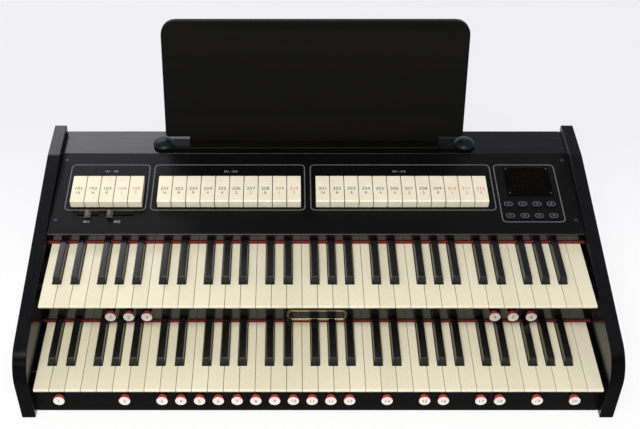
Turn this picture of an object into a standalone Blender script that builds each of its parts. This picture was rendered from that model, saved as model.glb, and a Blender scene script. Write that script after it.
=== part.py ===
"""Two-manual electronic organ, as an assembly of separate pieces, in metres with +Z up.

The player sits on the -Y side. Pieces are placed from the front edge of the lower keys (y = 0),
and one empty then shifts the whole organ so that its origin is under the middle of its outline.
"""

import math

import bmesh
import bpy
from mathutils import Matrix, Vector

MM = 0.001

# Fits between pieces
FIT = 0.3 * MM
BORE_CLEARANCE = 0.45 * MM

# Case
CASE_DEPTH = 496 * MM
CHEEK_THICKNESS = 21 * MM
KEY_SIDE_GAP = 6 * MM
CHEEK_OVER_DECK = 13 * MM
CHEEK_TOE_SETBACK = 4.3 * MM
CHEEK_FRONT_SETBACK = 0.5 * MM
CHEEK_KNEE_HEIGHT = 119.4 * MM
CHEEK_KNEE_RADIUS = 48 * MM
CHEEK_FLAT_LENGTH = 84 * MM
CHEEK_SHOULDER_RADIUS = 40 * MM
FOOT_HEIGHT = 2.7 * MM
FOOT_RADIUS = 15 * MM
FOOT_INSET = 60 * MM
FOOT_SIDES = 16
BOTTOM_THICKNESS = 13 * MM
REAR_THICKNESS = 9 * MM
REAR_RECESS = 3 * MM
DECK_THICKNESS = 12 * MM
DECK_HEIGHT = 174.5 * MM
DECK_DEPTH = 63.1 * MM
RAIL_THICKNESS = 12 * MM
FRONT_RAIL_SETBACK = 19 * MM
FRONT_RAIL_HEIGHT = 38 * MM

# Keys
OCTAVES = 5
NATURALS_PER_OCTAVE = 7
KEY_PITCH = 23.5 * MM
KEY_GAP = 0.7 * MM
KEY_TOP = 72.5 * MM
KEY_THICKNESS = 7 * MM
KEY_LIP = 4 * MM
KEY_NOSE = 20 * MM
KEY_HEAD = 47.5 * MM
KEY_PIVOT = 215 * MM
KEY_LEVER_END = 7 * MM
COMB_BAR = 11 * MM
COMB_ROOT = 0.25 * COMB_BAR
COMB_FINGER = 9 * MM
COMB_SHEET = 1.6 * MM
COMB_STEP = 2.3 * MM
COMB_DROP = 6.8 * MM
COMB_WEB_INSET = 0.2 * MM
SHARP_WIDTH = 13.2 * MM
SHARP_TOP_WIDTH = 10.2 * MM
SHARP_FRONT = 49 * MM
SHARP_HEIGHT = 11 * MM
SHARP_SLOPE = 5 * MM
SHARP_BACK_SLOPE = 1 * MM
SHARP_FELT_GAP = 0.8 * MM
UPPER_SETBACK = 105 * MM
UPPER_RISE = 69 * MM

# Key frames, contact boards and felts
FRAME_SHEET = 2 * MM
FRAME_WALL = 3 * MM
FRAME_PIVOT_EDGE = 4 * MM
FRAME_FRONT = 49 * MM
FRAME_STOP_DROP = 15.5 * MM
UPPER_FRAME_FRONT = 60 * MM
UPPER_FRAME_HEIGHT = 8.5 * MM
RIB_FROM_PIVOT = 85 * MM
RIB_DROP = 22 * MM
BOARD_THICKNESS = 1.6 * MM
BOARD_WIDTH = 40 * MM
FELT_THICKNESS = 1.4 * MM
FELT_HEIGHT = 5 * MM
FELT_LIFT = 0.6 * MM
LOWER_FACE = 139 * MM
UPPER_FACE = 141.1 * MM
RAIL_LIFT = 2 * MM
MIDDLE_RAIL_DROP = 19.5 * MM
NAMEBOARD_THICKNESS = 10 * MM
PLATE_WIDTH = 94 * MM
PLATE_HEIGHT = 22.5 * MM
PLATE_THICKNESS = 2.3 * MM
PLATE_CORNER = 7 * MM
PLATE_BORDER = 3 * MM
PLATE_SINK = 0.8 * MM

# Pistons
PISTON_RADIUS = 8.6 * MM
PISTON_EDGE = 3 * MM
PISTON_SHANK = 6 * MM
PISTON_CONE = 10 * MM
PISTON_REACH = 13.5 * MM
PISTON_BAR = 4 * MM
PISTON_BAR_HEIGHT = 10 * MM
PISTON_SIDES = 12
FRONT_PISTON_DROP = 32.6 * MM
MIDDLE_PISTON_RISE = 23.6 * MM
PISTON_PITCH = 1.2 * KEY_PITCH
FRONT_PISTON_FIRST = -8.31
FRONT_PISTON_STEPS = (-5.5, -2, *range(11), 12, 14, 15, 17, 18, 20, 22)
MIDDLE_PISTON_GROUPS = (-10.355, 10.78)

# Control panel: a sheet that rises towards the deck. Rows are parts of its length up the slope,
# and places across it are in steps of the stop tabs' pitch from the middle.
PANEL_OVER_KEYS = 19.7 * MM
PANEL_OVERHANG = 0.5 * MM
PANEL_THICKNESS = 2.5 * MM
TAB_PITCH = KEY_PITCH
TAB_GAP = 1 * MM
TAB_ROWS = (0.328, 0.64)
TAB_NOSE = 11.4 * MM
TAB_CREST = 13 * MM
TAB_CREST_SETBACK = 1.8 * MM
TAB_REAR = 13.4 * MM
TAB_DEPTH = 6 * MM
TAB_PIVOT = 4 * MM
TAB_PIVOT_DEPTH = 3 * MM
TAB_CLEARANCE = 0.9 * MM
TAB_BAR_WIDTH = 10 * MM
TAB_BAR_INSET = 1 * MM
TAB_BAR_THICKNESS = 2.2 * MM
TAB_BANKS = (
    (-17, {"pedal_tabs": 5}),
    (-11, {"manual_1_stop_tabs": 8, "manual_1_coupler_tabs": 2}),
    (0, {"manual_2_stop_tabs": 9, "manual_2_coupler_tabs": 3}),
)
STOP_RAIL_DEPTH = 20 * MM
STOP_RAIL_THICKNESS = 4 * MM
STOP_RAIL_ROWS = (0.44, 0.75)
DISPLAY_STEPS = (13.48, 16.66)
DISPLAY_ROWS = (0.4667, 0.811)
DISPLAY_RIM = 7 * MM
DISPLAY_LIP = 1.5 * MM
DISPLAY_DEPTH = 8 * MM
DISPLAY_SINK = 0.7 * MM
BUTTON_SIZE = (16.4 * MM, 12 * MM)
BUTTON_CORNER = 5.6 * MM
BUTTON_RISE = 2.2 * MM
BUTTON_PLATE = 1.6 * MM
BUTTON_PLATE_RIM = 4 * MM
BUTTON_STEPS = (13.37, 14.36, 15.35, 16.34)
BUTTON_ROWS = (0.2112, 0.3531)
SLIDER_ROW = 0.2246
SLIDER_SLOT = 3 * MM
SLIDER_STEM = (6 * MM, 2.2 * MM)
SLIDER_STEM_DEPTH = 7 * MM
SLIDER_KNOB = (11 * MM, 12 * MM)
SLIDER_KNOB_HEIGHT = 8 * MM
SLIDER_KNOB_CREST = 3.4 * MM
SLIDER_LIFT = 0.4 * MM
SLIDERS = {
    "left_slider": {"slot": (-16.41, -14.95), "knob": -15.715},
    "right_slider": {"slot": (-14.53, -12.57), "knob": -14.19},
}

# Music desk: a board that leans back, laid out along its own lean
DESK_LEAN = math.radians(13.3)
DESK_SETBACK = 20.1 * MM
DESK_WIDTH = 507.5 * MM
DESK_LENGTH = 221 * MM
DESK_THICKNESS = 12 * MM
DESK_CORNER = 24 * MM
DESK_LOW_CORNER = 5 * MM
TONGUE_WIDTH = 424 * MM
TONGUE_LENGTH = 15 * MM
LEDGE_DEPTH = 17 * MM
LEDGE_HEIGHT = 10 * MM
LEDGE_EDGE = 2 * MM
BRACKET_SHEET = 2.5 * MM
BRACKET_HEIGHT = 60 * MM
BRACKET_EAR = 13 * MM
BRACKET_EAR_CORNER = 10.4 * MM
BRACKET_REAR_CORNER = 6.5 * MM
BRACKET_TONGUE_GAP = 2 * MM
DESK_KNOB_OUTSET = 4.25 * MM
DESK_KNOB_SETBACK = 3 * MM
DESK_KNOB_RADIUS = 18 * MM
DESK_KNOB_HEIGHT = 8.5 * MM
DESK_KNOB_SHAFT = 3 * MM
DESK_KNOB_SIDES = 16
DESK_KNOB_DOME = (0, 25, 48, 68, 84)

# Rear connections and the electronics inside
INLET_X = 330 * MM
INLET_HEIGHT = 60 * MM
INLET_FLANGE = (32 * MM, 25 * MM)
INLET_BODY = (27.4 * MM, 20 * MM)
INLET_RECESS = (24 * MM, 16.5 * MM)
INLET_RECESS_DEPTH = 15 * MM
INLET_BODY_DEPTH = 20 * MM
FLANGE_THICKNESS = 2 * MM
PIN_SIZE = (2.2 * MM, 4.4 * MM)
PIN_LENGTH = 12 * MM
PIN_PLACES = ((-7 * MM, 3.6 * MM), (7 * MM, 3.6 * MM), (0, 0.4 * MM))
SWITCH_X = 285 * MM
SWITCH_SIZE = (13 * MM, 17 * MM)
SWITCH_DEPTH = 8 * MM
SWITCH_SWING = 1.5 * MM
SOCKET_BLOCK_X = -272 * MM
SOCKET_HEIGHT = 60 * MM
SOCKET_FLANGE = (160 * MM, 34 * MM)
SOCKET_BODY = (150 * MM, 26 * MM)
SOCKET_BODY_DEPTH = 24 * MM
SOCKET_SIDES = 12
JACKS = {"places": (-58 * MM, -24 * MM), "radius": 3.4 * MM, "depth": 18 * MM}
ROUND_SOCKETS = {"places": (18 * MM, 56 * MM), "radius": 6.8 * MM, "depth": 8 * MM}
MAIN_BOARD_X = (-170 * MM, 110 * MM)
MAIN_BOARD_Y = (262 * MM, 432 * MM)
SPACER = 8 * MM
CHIP_BLOCKS = (
    (-110 * MM, 310 * MM, 40 * MM, 28 * MM, 3 * MM),
    (-20 * MM, 300 * MM, 30 * MM, 30 * MM, 4 * MM),
    (50 * MM, 330 * MM, 22 * MM, 46 * MM, 9 * MM),
    (-80 * MM, 385 * MM, 90 * MM, 16 * MM, 6 * MM),
)
POWER_SUPPLY_X = (210 * MM, 350 * MM)
POWER_SUPPLY_Y = (300 * MM, 400 * MM)
POWER_SUPPLY_HEIGHT = 38 * MM

# Places that follow from the sizes above
NATURALS = OCTAVES * NATURALS_PER_OCTAVE + 1
MANUAL_WIDTH = NATURALS * KEY_PITCH
CASE_WIDTH = MANUAL_WIDTH + 2 * (KEY_SIDE_GAP + CHEEK_THICKNESS)
INNER_HALF = CASE_WIDTH / 2 - CHEEK_THICKNESS - FIT
BASE = FOOT_HEIGHT + FIT
FLOOR = BASE + BOTTOM_THICKNESS + FIT
DECK_TOP = BASE + DECK_HEIGHT
DECK_FRONT = CASE_DEPTH - DECK_DEPTH
CHEEK_HEIGHT = DECK_HEIGHT + CHEEK_OVER_DECK
FRONT_AXIS = KEY_TOP - FRONT_PISTON_DROP
MIDDLE_AXIS = KEY_TOP + MIDDLE_PISTON_RISE
REAR_FACE = CASE_DEPTH - REAR_RECESS
REAR_INNER_FACE = REAR_FACE - REAR_THICKNESS
UPPER_KEY_TOP = KEY_TOP + UPPER_RISE
PANEL_FRONT = UPPER_SETBACK + UPPER_FACE - PANEL_OVERHANG
PANEL_TOP = UPPER_KEY_TOP + PANEL_OVER_KEYS
PANEL_RISE = DECK_TOP - FIT - PANEL_TOP
PANEL_SPAN = DECK_FRONT - PANEL_FRONT
PANEL_RUN = PANEL_SPAN - FIT - PANEL_THICKNESS * PANEL_RISE / math.hypot(PANEL_SPAN, PANEL_RISE)
PANEL_LENGTH = math.hypot(PANEL_RUN, PANEL_RISE)
PANEL_TILT = math.atan2(PANEL_RISE, PANEL_RUN)
TAB_FRONT = TAB_ROWS[0] * PANEL_LENGTH
TAB_BACK = TAB_ROWS[1] * PANEL_LENGTH
DESK_FRONT = DECK_FRONT + DESK_SETBACK
DESK_KNOB_X = DESK_WIDTH / 2 + DESK_KNOB_OUTSET
DESK_KNOB_Y = DESK_FRONT + DESK_KNOB_SETBACK
DESK_LIFT = FIT + DESK_THICKNESS * math.sin(DESK_LEAN)
OVERALL_DEPTH = DESK_FRONT + DESK_LENGTH * math.sin(DESK_LEAN) + DESK_THICKNESS * math.cos(DESK_LEAN)
BRACKET_TOP = DECK_TOP + FIT + BRACKET_SHEET
OCTAVE_GROUPS = (("c", "d", "e"), ("f", "g", "a", "b"))
COMB_NOTES = {"cegb": ("c", "e", "g", "b"), "dfa": ("d", "f", "a"), "sharps": ("sharp",)}
COMB_OCTAVES = {"low": (0, 2), "middle": (2, 4), "high": (4, 6)}
MANUALS = {
    "lower": {"front": 0, "top": KEY_TOP, "face": LOWER_FACE},
    "upper": {"front": UPPER_SETBACK, "top": UPPER_KEY_TOP, "face": UPPER_SETBACK + UPPER_FACE},
}

UP = Vector((0, 0, 1))
BACK = Vector((0, 1, 0))

# Finishes: colour, roughness, metallic
FINISHES = {
    "black_lacquer": ((0.012, 0.012, 0.013), 0.32, 0.0),
    "black_sheet": ((0.018, 0.018, 0.020), 0.45, 0.0),
    "black_board": ((0.015, 0.015, 0.016), 0.50, 0.0),
    "ivory_plastic": ((0.80, 0.74, 0.58), 0.35, 0.0),
    "ebony_plastic": ((0.010, 0.010, 0.011), 0.30, 0.0),
    "piston_plastic": ((0.85, 0.80, 0.72), 0.30, 0.0),
    "tab_plastic": ((0.78, 0.74, 0.60), 0.35, 0.0),
    "red_felt": ((0.10, 0.004, 0.004), 0.95, 0.0),
    "zinc_steel": ((0.45, 0.46, 0.48), 0.40, 1.0),
    "brass": ((0.70, 0.52, 0.26), 0.30, 1.0),
    "circuit_board": ((0.02, 0.14, 0.05), 0.50, 0.0),
    "black_plastic": ((0.020, 0.020, 0.022), 0.40, 0.0),
    "grey_plastic": ((0.11, 0.11, 0.12), 0.45, 0.0),
    "smoked_window": ((0.008, 0.008, 0.010), 0.12, 0.0),
    "black_rubber": ((0.015, 0.015, 0.015), 0.85, 0.0),
}


def clear_scene():
    for obj in list(bpy.data.objects):
        bpy.data.objects.remove(obj, do_unlink=True)


def new_collection(name):
    collection = bpy.data.collections.new(name)
    bpy.context.scene.collection.children.link(collection)
    return collection


def new_empty(name, parent=None, location=(0, 0, 0), tilt=0.0):
    empty = bpy.data.objects.new(name, None)
    empty.parent = parent
    empty.location = location
    empty.rotation_euler = (tilt, 0, 0)
    PARTS.objects.link(empty)
    return empty


def finish_material(obj, finish):
    colour, roughness, metallic = FINISHES[finish]
    material = bpy.data.materials.new(f"{obj.name}_{finish}")
    material.use_nodes = True
    shader = material.node_tree.nodes["Principled BSDF"]
    shader.inputs["Base Color"].default_value = (*colour, 1)
    shader.inputs["Roughness"].default_value = roughness
    shader.inputs["Metallic"].default_value = metallic
    obj.data.materials.append(material)


def mesh_object(name, bm, parent, origin, collection):
    bmesh.ops.recalc_face_normals(bm, faces=bm.faces)
    mesh = bpy.data.meshes.new(name)
    bm.to_mesh(mesh)
    bm.free()
    mesh.transform(Matrix.Translation(-Vector(origin)))
    obj = bpy.data.objects.new(name, mesh)
    obj.location = origin
    obj.parent = parent
    collection.objects.link(obj)
    return obj


def add_part(name, bm, finish, parent, origin=(0, 0, 0), smooth=False):
    """Makes the named piece from the bmesh, with its origin on its joint's axis if it moves."""
    obj = mesh_object(name, bm, parent, origin, PARTS)
    finish_material(obj, finish)
    if smooth:
        obj.data.shade_smooth()
        obj.data.set_sharp_from_angle(angle=math.radians(40))
    return obj


def rod(bm, radius, low, high, place, axis, sides):
    """Adds a round bar along an axis, between two distances from a place."""
    turn = UP.rotation_difference(axis).to_matrix().to_4x4()
    centre = Vector(place) + Vector(axis) * (low + high) / 2
    matrix = Matrix.Translation(centre) @ turn
    bmesh.ops.create_cone(bm, cap_ends=True, segments=sides, radius1=radius, radius2=radius,
                          depth=high - low, matrix=matrix)


def boolean(obj, bm, operation, label):
    """Cuts the shapes of the bmesh out of the piece, or joins them to it."""
    tool = mesh_object(f"{obj.name}_{label}", bm, obj.parent, (0, 0, 0), CUTTERS)
    tool.hide_render = True
    tool.display_type = "WIRE"
    modifier = obj.modifiers.new(label, "BOOLEAN")
    modifier.operation = operation
    modifier.solver = "EXACT"
    modifier.object = tool


def box(bm, x, y, z):
    """Adds a box between two bounds along each axis."""
    low = Vector((x[0], y[0], z[0]))
    high = Vector((x[1], y[1], z[1]))
    matrix = Matrix.LocRotScale((low + high) / 2, None, high - low)
    return bmesh.ops.create_cube(bm, size=1, matrix=matrix)["verts"]


def add_mesh(bm, mesh, matrix):
    """Adds a copy of the mesh, moved by the matrix."""
    first = len(bm.verts)
    bm.from_mesh(mesh)
    bm.verts.ensure_lookup_table()
    verts = bm.verts[first:]
    bmesh.ops.transform(bm, matrix=matrix, verts=verts)
    return verts


def weld(mesh):
    bm = bmesh.new()
    bm.from_mesh(mesh)
    bmesh.ops.remove_doubles(bm, verts=bm.verts, dist=1e-6)
    bm.to_mesh(mesh)
    bm.free()
    return mesh


def slab(points, thickness):
    """A flat outline with a thickness, as a mesh centred on its own plane."""
    curve = bpy.data.curves.new("outline", "CURVE")
    curve.dimensions = "2D"
    curve.fill_mode = "BOTH"
    curve.extrude = thickness / 2
    spline = curve.splines.new("POLY")
    spline.points.add(len(points) - 1)
    for point, place in zip(spline.points, points):
        point.co = (place[0], place[1], 0, 1)
    spline.use_cyclic_u = True
    obj = bpy.data.objects.new("outline", curve)
    mesh = bpy.data.meshes.new_from_object(obj)
    bpy.data.objects.remove(obj)
    bpy.data.curves.remove(curve)
    return weld(mesh)


def side_slab(bm, points, x):
    """Adds an outline drawn in (y, z), extruded between two x bounds."""
    turn = Matrix(((0, 0, 1, (x[0] + x[1]) / 2), (1, 0, 0, 0), (0, 1, 0, 0), (0, 0, 0, 1)))
    return add_mesh(bm, slab(points, x[1] - x[0]), turn)


def front_slab(bm, points, y):
    """Adds an outline drawn in (x, z), extruded between two y bounds."""
    turn = Matrix(((1, 0, 0, 0), (0, 0, -1, (y[0] + y[1]) / 2), (0, 1, 0, 0), (0, 0, 0, 1)))
    return add_mesh(bm, slab(points, y[1] - y[0]), turn)


def plan_slab(bm, points, z):
    """Adds an outline drawn in (x, y), extruded between two z bounds."""
    return add_mesh(bm, slab(points, z[1] - z[0]), Matrix.Translation((0, 0, (z[0] + z[1]) / 2)))


def rounded(corners, steps=5):
    """The outline through corners given as (u, v, radius), with an arc at each corner that has one."""
    points = []
    for index, (u, v, radius) in enumerate(corners):
        corner = Vector((u, v))
        if not radius:
            points.append(corner)
            continue
        before = (Vector(corners[index - 1][:2]) - corner).normalized()
        after = (Vector(corners[(index + 1) % len(corners)][:2]) - corner).normalized()
        half = before.angle(after) / 2
        centre = corner + (before + after).normalized() * (radius / math.sin(half))
        start = corner + before * (radius / math.tan(half)) - centre
        end = corner + after * (radius / math.tan(half)) - centre
        angle = math.atan2(start.y, start.x)
        sweep = (math.atan2(end.y, end.x) - angle + math.pi) % math.tau - math.pi
        for step in range(steps + 1):
            turn = angle + sweep * step / steps
            points.append(centre + radius * Vector((math.cos(turn), math.sin(turn))))
    return points


def rounded_box(centre, size, radius, steps=2):
    """The outline of a rectangle with round corners."""
    half_u = size[0] / 2
    half_v = size[1] / 2
    signs = ((-1, -1), (1, -1), (1, 1), (-1, 1))
    corners = [(centre[0] + u * half_u, centre[1] + v * half_v, radius) for u, v in signs]
    return rounded(corners, steps)


def turned(profile, sides):
    """A turned solid about Z, from a profile of (radius, height) that runs from its top to its foot."""
    mesh = bpy.data.meshes.new("profile")
    edges = [(index, index + 1) for index in range(len(profile) - 1)]
    mesh.from_pydata([(radius, 0, height) for radius, height in profile], edges, [])
    obj = bpy.data.objects.new("profile", mesh)
    CUTTERS.objects.link(obj)
    screw = obj.modifiers.new("turn", "SCREW")
    screw.steps = sides
    screw.render_steps = sides
    screw.use_merge_vertices = True
    screw.merge_threshold = 1e-6
    depsgraph = bpy.context.evaluated_depsgraph_get()
    solid = bpy.data.meshes.new_from_object(obj.evaluated_get(depsgraph))
    bpy.data.objects.remove(obj)
    return weld(solid)


def pointing_forward(x, y, z):
    """The placement that turns a solid's +Z towards the player."""
    return Matrix.Translation((x, y, z)) @ Matrix.Rotation(math.pi / 2, 4, "X")


# Case


def build_cheeks():
    outline = rounded([
        (CHEEK_TOE_SETBACK, BASE, 0),
        (CHEEK_FRONT_SETBACK, BASE + CHEEK_KNEE_HEIGHT, CHEEK_KNEE_RADIUS),
        (CASE_DEPTH - CHEEK_FLAT_LENGTH, BASE + CHEEK_HEIGHT, CHEEK_SHOULDER_RADIUS),
        (CASE_DEPTH, BASE + CHEEK_HEIGHT, 0),
        (CASE_DEPTH, BASE, 0),
    ], steps=8)
    outer = CASE_WIDTH / 2
    inner = outer - CHEEK_THICKNESS
    for name, bounds in (("left_cheek", (-outer, -inner)), ("right_cheek", (inner, outer))):
        bm = bmesh.new()
        side_slab(bm, outline, bounds)
        add_part(name, bm, "black_lacquer", ORGAN)


def build_bottom():
    bm = bmesh.new()
    box(bm, (-INNER_HALF, INNER_HALF), (FRONT_RAIL_SETBACK, REAR_FACE), (BASE, BASE + BOTTOM_THICKNESS))
    add_part("bottom_panel", bm, "black_board", ORGAN)
    edge_x = CASE_WIDTH / 2 - FOOT_INSET
    for depth_name, y in (("front", FRONT_RAIL_SETBACK + FOOT_INSET), ("rear", REAR_FACE - FOOT_INSET)):
        for side_name, x in (("left", -edge_x), ("right", edge_x)):
            bm = bmesh.new()
            rod(bm, FOOT_RADIUS, 0, FOOT_HEIGHT, (x, y, 0), UP, FOOT_SIDES)
            add_part(f"{depth_name}_{side_name}_foot", bm, "black_rubber", ORGAN)


def build_rear_panel():
    bm = bmesh.new()
    box(bm, (-INNER_HALF, INNER_HALF), (REAR_INNER_FACE, REAR_FACE), (FLOOR, DECK_TOP - DECK_THICKNESS - FIT))
    panel = add_part("rear_panel", bm, "black_board", ORGAN)
    bm = bmesh.new()
    for x, height, size, swing in (
        (INLET_X, INLET_HEIGHT, INLET_BODY, FIT),
        (SWITCH_X, INLET_HEIGHT, SWITCH_SIZE, SWITCH_SWING),
        (SOCKET_BLOCK_X, SOCKET_HEIGHT, SOCKET_BODY, FIT),
    ):
        across, up = ring(x, height, (size[0] + 2 * FIT, size[1] + 2 * swing))
        box(bm, across, (REAR_INNER_FACE - REAR_THICKNESS, REAR_FACE + REAR_THICKNESS), up)
    boolean(panel, bm, "DIFFERENCE", "openings")


def build_deck():
    bm = bmesh.new()
    box(bm, (-INNER_HALF, INNER_HALF), (DECK_FRONT, CASE_DEPTH), (DECK_TOP - DECK_THICKNESS, DECK_TOP))
    deck = add_part("top_deck", bm, "black_lacquer", ORGAN)
    boolean(deck, knob_holes(DECK_TOP), "DIFFERENCE", "knob_holes")


def piston_rail(name, low, height, face, places, axis_height):
    """A rail between the cheeks with a sliding hole for each piston."""
    bm = bmesh.new()
    box(bm, (-INNER_HALF, INNER_HALF), (face, face + RAIL_THICKNESS), (low, low + height))
    rail = add_part(name, bm, "black_board", ORGAN)
    bm = bmesh.new()
    for x in places:
        place = (x, face, axis_height)
        rod(bm, PISTON_SHANK + BORE_CLEARANCE, -RAIL_THICKNESS, 2 * RAIL_THICKNESS, place, BACK, PISTON_SIDES)
    boolean(rail, bm, "DIFFERENCE", "piston_holes")


def build_rails():
    piston_rail("front_rail", FLOOR, FRONT_RAIL_HEIGHT, FRONT_RAIL_SETBACK, front_piston_places(), FRONT_AXIS)
    low = KEY_TOP + RAIL_LIFT
    height = UPPER_KEY_TOP - MIDDLE_RAIL_DROP - low
    piston_rail("middle_rail", low, height, LOWER_FACE, middle_piston_places(), MIDDLE_AXIS)


def build_nameboard():
    face = MANUALS["upper"]["face"]
    low = MANUALS["upper"]["top"] + RAIL_LIFT
    high = PANEL_TOP + (face - PANEL_FRONT) * math.tan(PANEL_TILT) - PANEL_THICKNESS / math.cos(PANEL_TILT)
    bm = bmesh.new()
    box(bm, (-INNER_HALF, INNER_HALF), (face, face + NAMEBOARD_THICKNESS), (low, high - FIT))
    add_part("nameboard", bm, "black_lacquer", ORGAN)


def build_felts():
    for label, manual in MANUALS.items():
        back = manual["face"] - FIT
        low = manual["top"] + FELT_LIFT
        bm = bmesh.new()
        box(bm, (-INNER_HALF, INNER_HALF), (back - FELT_THICKNESS, back), (low, low + FELT_HEIGHT))
        add_part(f"{label}_felt", bm, "red_felt", ORGAN)


def build_name_plate():
    """A bare framed plate on the middle rail, its field sunk inside a border."""
    back = LOWER_FACE - FIT
    low = KEY_TOP + FELT_LIFT + FELT_HEIGHT + FIT
    outline = rounded_box((0, low + PLATE_HEIGHT / 2), (PLATE_WIDTH, PLATE_HEIGHT), PLATE_CORNER)
    bm = bmesh.new()
    front_slab(bm, outline, (back - PLATE_THICKNESS, back))
    bmesh.ops.dissolve_limit(bm, angle_limit=math.radians(1), verts=bm.verts, edges=bm.edges)
    reach = back - PLATE_THICKNESS + PLATE_SINK / 2
    front = [face for face in bm.faces if face.calc_center_median().y < reach]
    bmesh.ops.inset_region(bm, faces=front, thickness=PLATE_BORDER, use_even_offset=True)
    bmesh.ops.inset_region(bm, faces=front, thickness=PLATE_SINK / 2, depth=-PLATE_SINK, use_even_offset=True)
    add_part("name_plate", bm, "brass", ORGAN)


# Keys


def key_layout():
    """Yields each key of a manual: its octave, its note, its head's bounds and its tail's bounds in x.

    Within C to E and within F to B the tails share what the sharps leave, so all are equally wide.
    A sharp has no head.
    """
    left = -MANUAL_WIDTH / 2
    for index, group in enumerate([*(OCTAVE_GROUPS * OCTAVES), ("c",)]):
        count = len(group)
        octave = index // len(OCTAVE_GROUPS)
        tail = (count * KEY_PITCH - (count - 1) * SHARP_WIDTH - (2 * count - 1) * KEY_GAP) / count
        edge = left + KEY_GAP / 2
        for place, note in enumerate(group):
            head = left + place * KEY_PITCH + KEY_GAP / 2
            yield octave, note, (head, head + KEY_PITCH - KEY_GAP), (edge, edge + tail)
            edge += tail + KEY_GAP
            if place < count - 1:
                yield octave, "sharp", None, (edge, edge + SHARP_WIDTH)
                edge += SHARP_WIDTH + KEY_GAP
        left += count * KEY_PITCH


def natural_key(bm, manual, head, tail):
    """A natural: a broad head, a narrow tail between the sharps, and an underside that thins to the lip."""
    front = manual["front"]
    back = front + KEY_PIVOT - KEY_LEVER_END
    neck = front + KEY_HEAD
    right = [(head[1], neck), (tail[1], neck)] if head[1] - tail[1] > FIT else []
    left = [(tail[0], neck), (head[0], neck)] if tail[0] - head[0] > FIT else []
    outline = [(head[0], front), (head[1], front), *right, (tail[1], back), (tail[0], back), *left]
    top = manual["top"]
    verts = plan_slab(bm, outline, (top - KEY_THICKNESS, top))
    edges = {edge for vert in verts for edge in vert.link_edges}
    faces = {face for vert in verts for face in vert.link_faces}
    place = (0, front + KEY_NOSE, 0)
    bmesh.ops.bisect_plane(bm, geom=[*verts, *edges, *faces], plane_co=place, plane_no=(0, 1, 0))
    for vert in verts:
        if vert.co.y < front + FIT and vert.co.z < top - KEY_LIP:
            vert.co.z = top - KEY_LIP


def sharp_key(bm, manual, tail):
    """A sharp: a lever with a raised cap that slopes at the front and narrows upwards."""
    top = manual["top"]
    start = manual["front"] + SHARP_FRONT
    cap_end = manual["face"] - FIT - FELT_THICKNESS - SHARP_FELT_GAP
    back = manual["front"] + KEY_PIVOT - KEY_LEVER_END
    outline = [(start, top - KEY_THICKNESS), (back, top - KEY_THICKNESS), (back, top), (cap_end, top)]
    outline += [(cap_end - SHARP_BACK_SLOPE, top + SHARP_HEIGHT), (start + SHARP_SLOPE, top + SHARP_HEIGHT)]
    outline += [(start, top)]
    verts = side_slab(bm, outline, tail)
    middle = (tail[0] + tail[1]) / 2
    for vert in verts:
        if vert.co.z > top + SHARP_HEIGHT / 2:
            vert.co.x = middle + (vert.co.x - middle) * SHARP_TOP_WIDTH / SHARP_WIDTH


def comb_bar(manual, level, span):
    """The moulded bar that joins a comb's keys over the pivot.

    The three combs of a span lie in levels over one another, so each lever only meets its own bar.
    """
    pivot = manual["front"] + KEY_PIVOT
    left = -MANUAL_WIDTH / 2 + span[0] * NATURALS_PER_OCTAVE * KEY_PITCH
    right = min(left + (span[1] - span[0]) * NATURALS_PER_OCTAVE * KEY_PITCH, MANUAL_WIDTH / 2)
    sheet = manual["top"] - COMB_DROP + level * COMB_STEP
    bm = bmesh.new()
    width = (left + KEY_GAP / 2, right - KEY_GAP / 2)
    box(bm, width, (pivot - COMB_BAR / 2, pivot + COMB_BAR / 2), (sheet, sheet + COMB_SHEET))
    return bm


def comb_finger(bm, manual, level, tail):
    """The web that runs from the comb's bar into the end of one lever."""
    pivot = manual["front"] + KEY_PIVOT
    low = manual["top"] - COMB_DROP + level * COMB_STEP + COMB_WEB_INSET
    high = low + COMB_SHEET - 2 * COMB_WEB_INSET
    box(bm, (tail[0] + FIT, tail[1] - FIT), (pivot - COMB_FINGER, pivot - COMB_ROOT), (low, high))


def build_keys():
    """Three combs for each span of octaves: C, E, G and B; D, F and A; and the sharps."""
    for label, manual in MANUALS.items():
        pivot = (0, manual["front"] + KEY_PIVOT, manual["top"] - KEY_THICKNESS - FIT)
        for span_name, span in COMB_OCTAVES.items():
            for level, (comb_name, notes) in enumerate(COMB_NOTES.items()):
                levers = bmesh.new()
                fingers = bmesh.new()
                for octave, note, head, tail in key_layout():
                    if not span[0] <= octave < span[1] or note not in notes:
                        continue
                    comb_finger(fingers, manual, level, tail)
                    if note == "sharp":
                        sharp_key(levers, manual, tail)
                    else:
                        natural_key(levers, manual, head, tail)
                finish = "ebony_plastic" if comb_name == "sharps" else "ivory_plastic"
                comb = add_part(f"{label}_{span_name}_{comb_name}", comb_bar(manual, level, span), finish,
                                ORGAN, pivot)
                boolean(comb, fingers, "UNION", "fingers")
                boolean(comb, levers, "UNION", "levers")


def frame_outline(manual, low, front):
    """The section of a key frame: a tray with a stop rail, a rib for the contact board and a pivot rail."""
    pivot = manual["front"] + KEY_PIVOT
    half = FRAME_PIVOT_EDGE / 2
    rib = pivot - RIB_FROM_PIVOT
    tray = low + FRAME_SHEET
    stop = manual["top"] - FRAME_STOP_DROP
    shelf = manual["top"] - RIB_DROP
    rest = manual["top"] - COMB_DROP - FIT
    outline = [(front, low), (pivot + half, low), (pivot + half, rest)]
    outline += [(pivot - half, rest), (pivot - half, tray)]
    outline += [(rib + FRAME_WALL, tray), (rib + FRAME_WALL, shelf), (rib, shelf), (rib, tray)]
    outline += [(front + FRAME_WALL, tray), (front + FRAME_WALL, stop), (front, stop)]
    return outline


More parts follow.
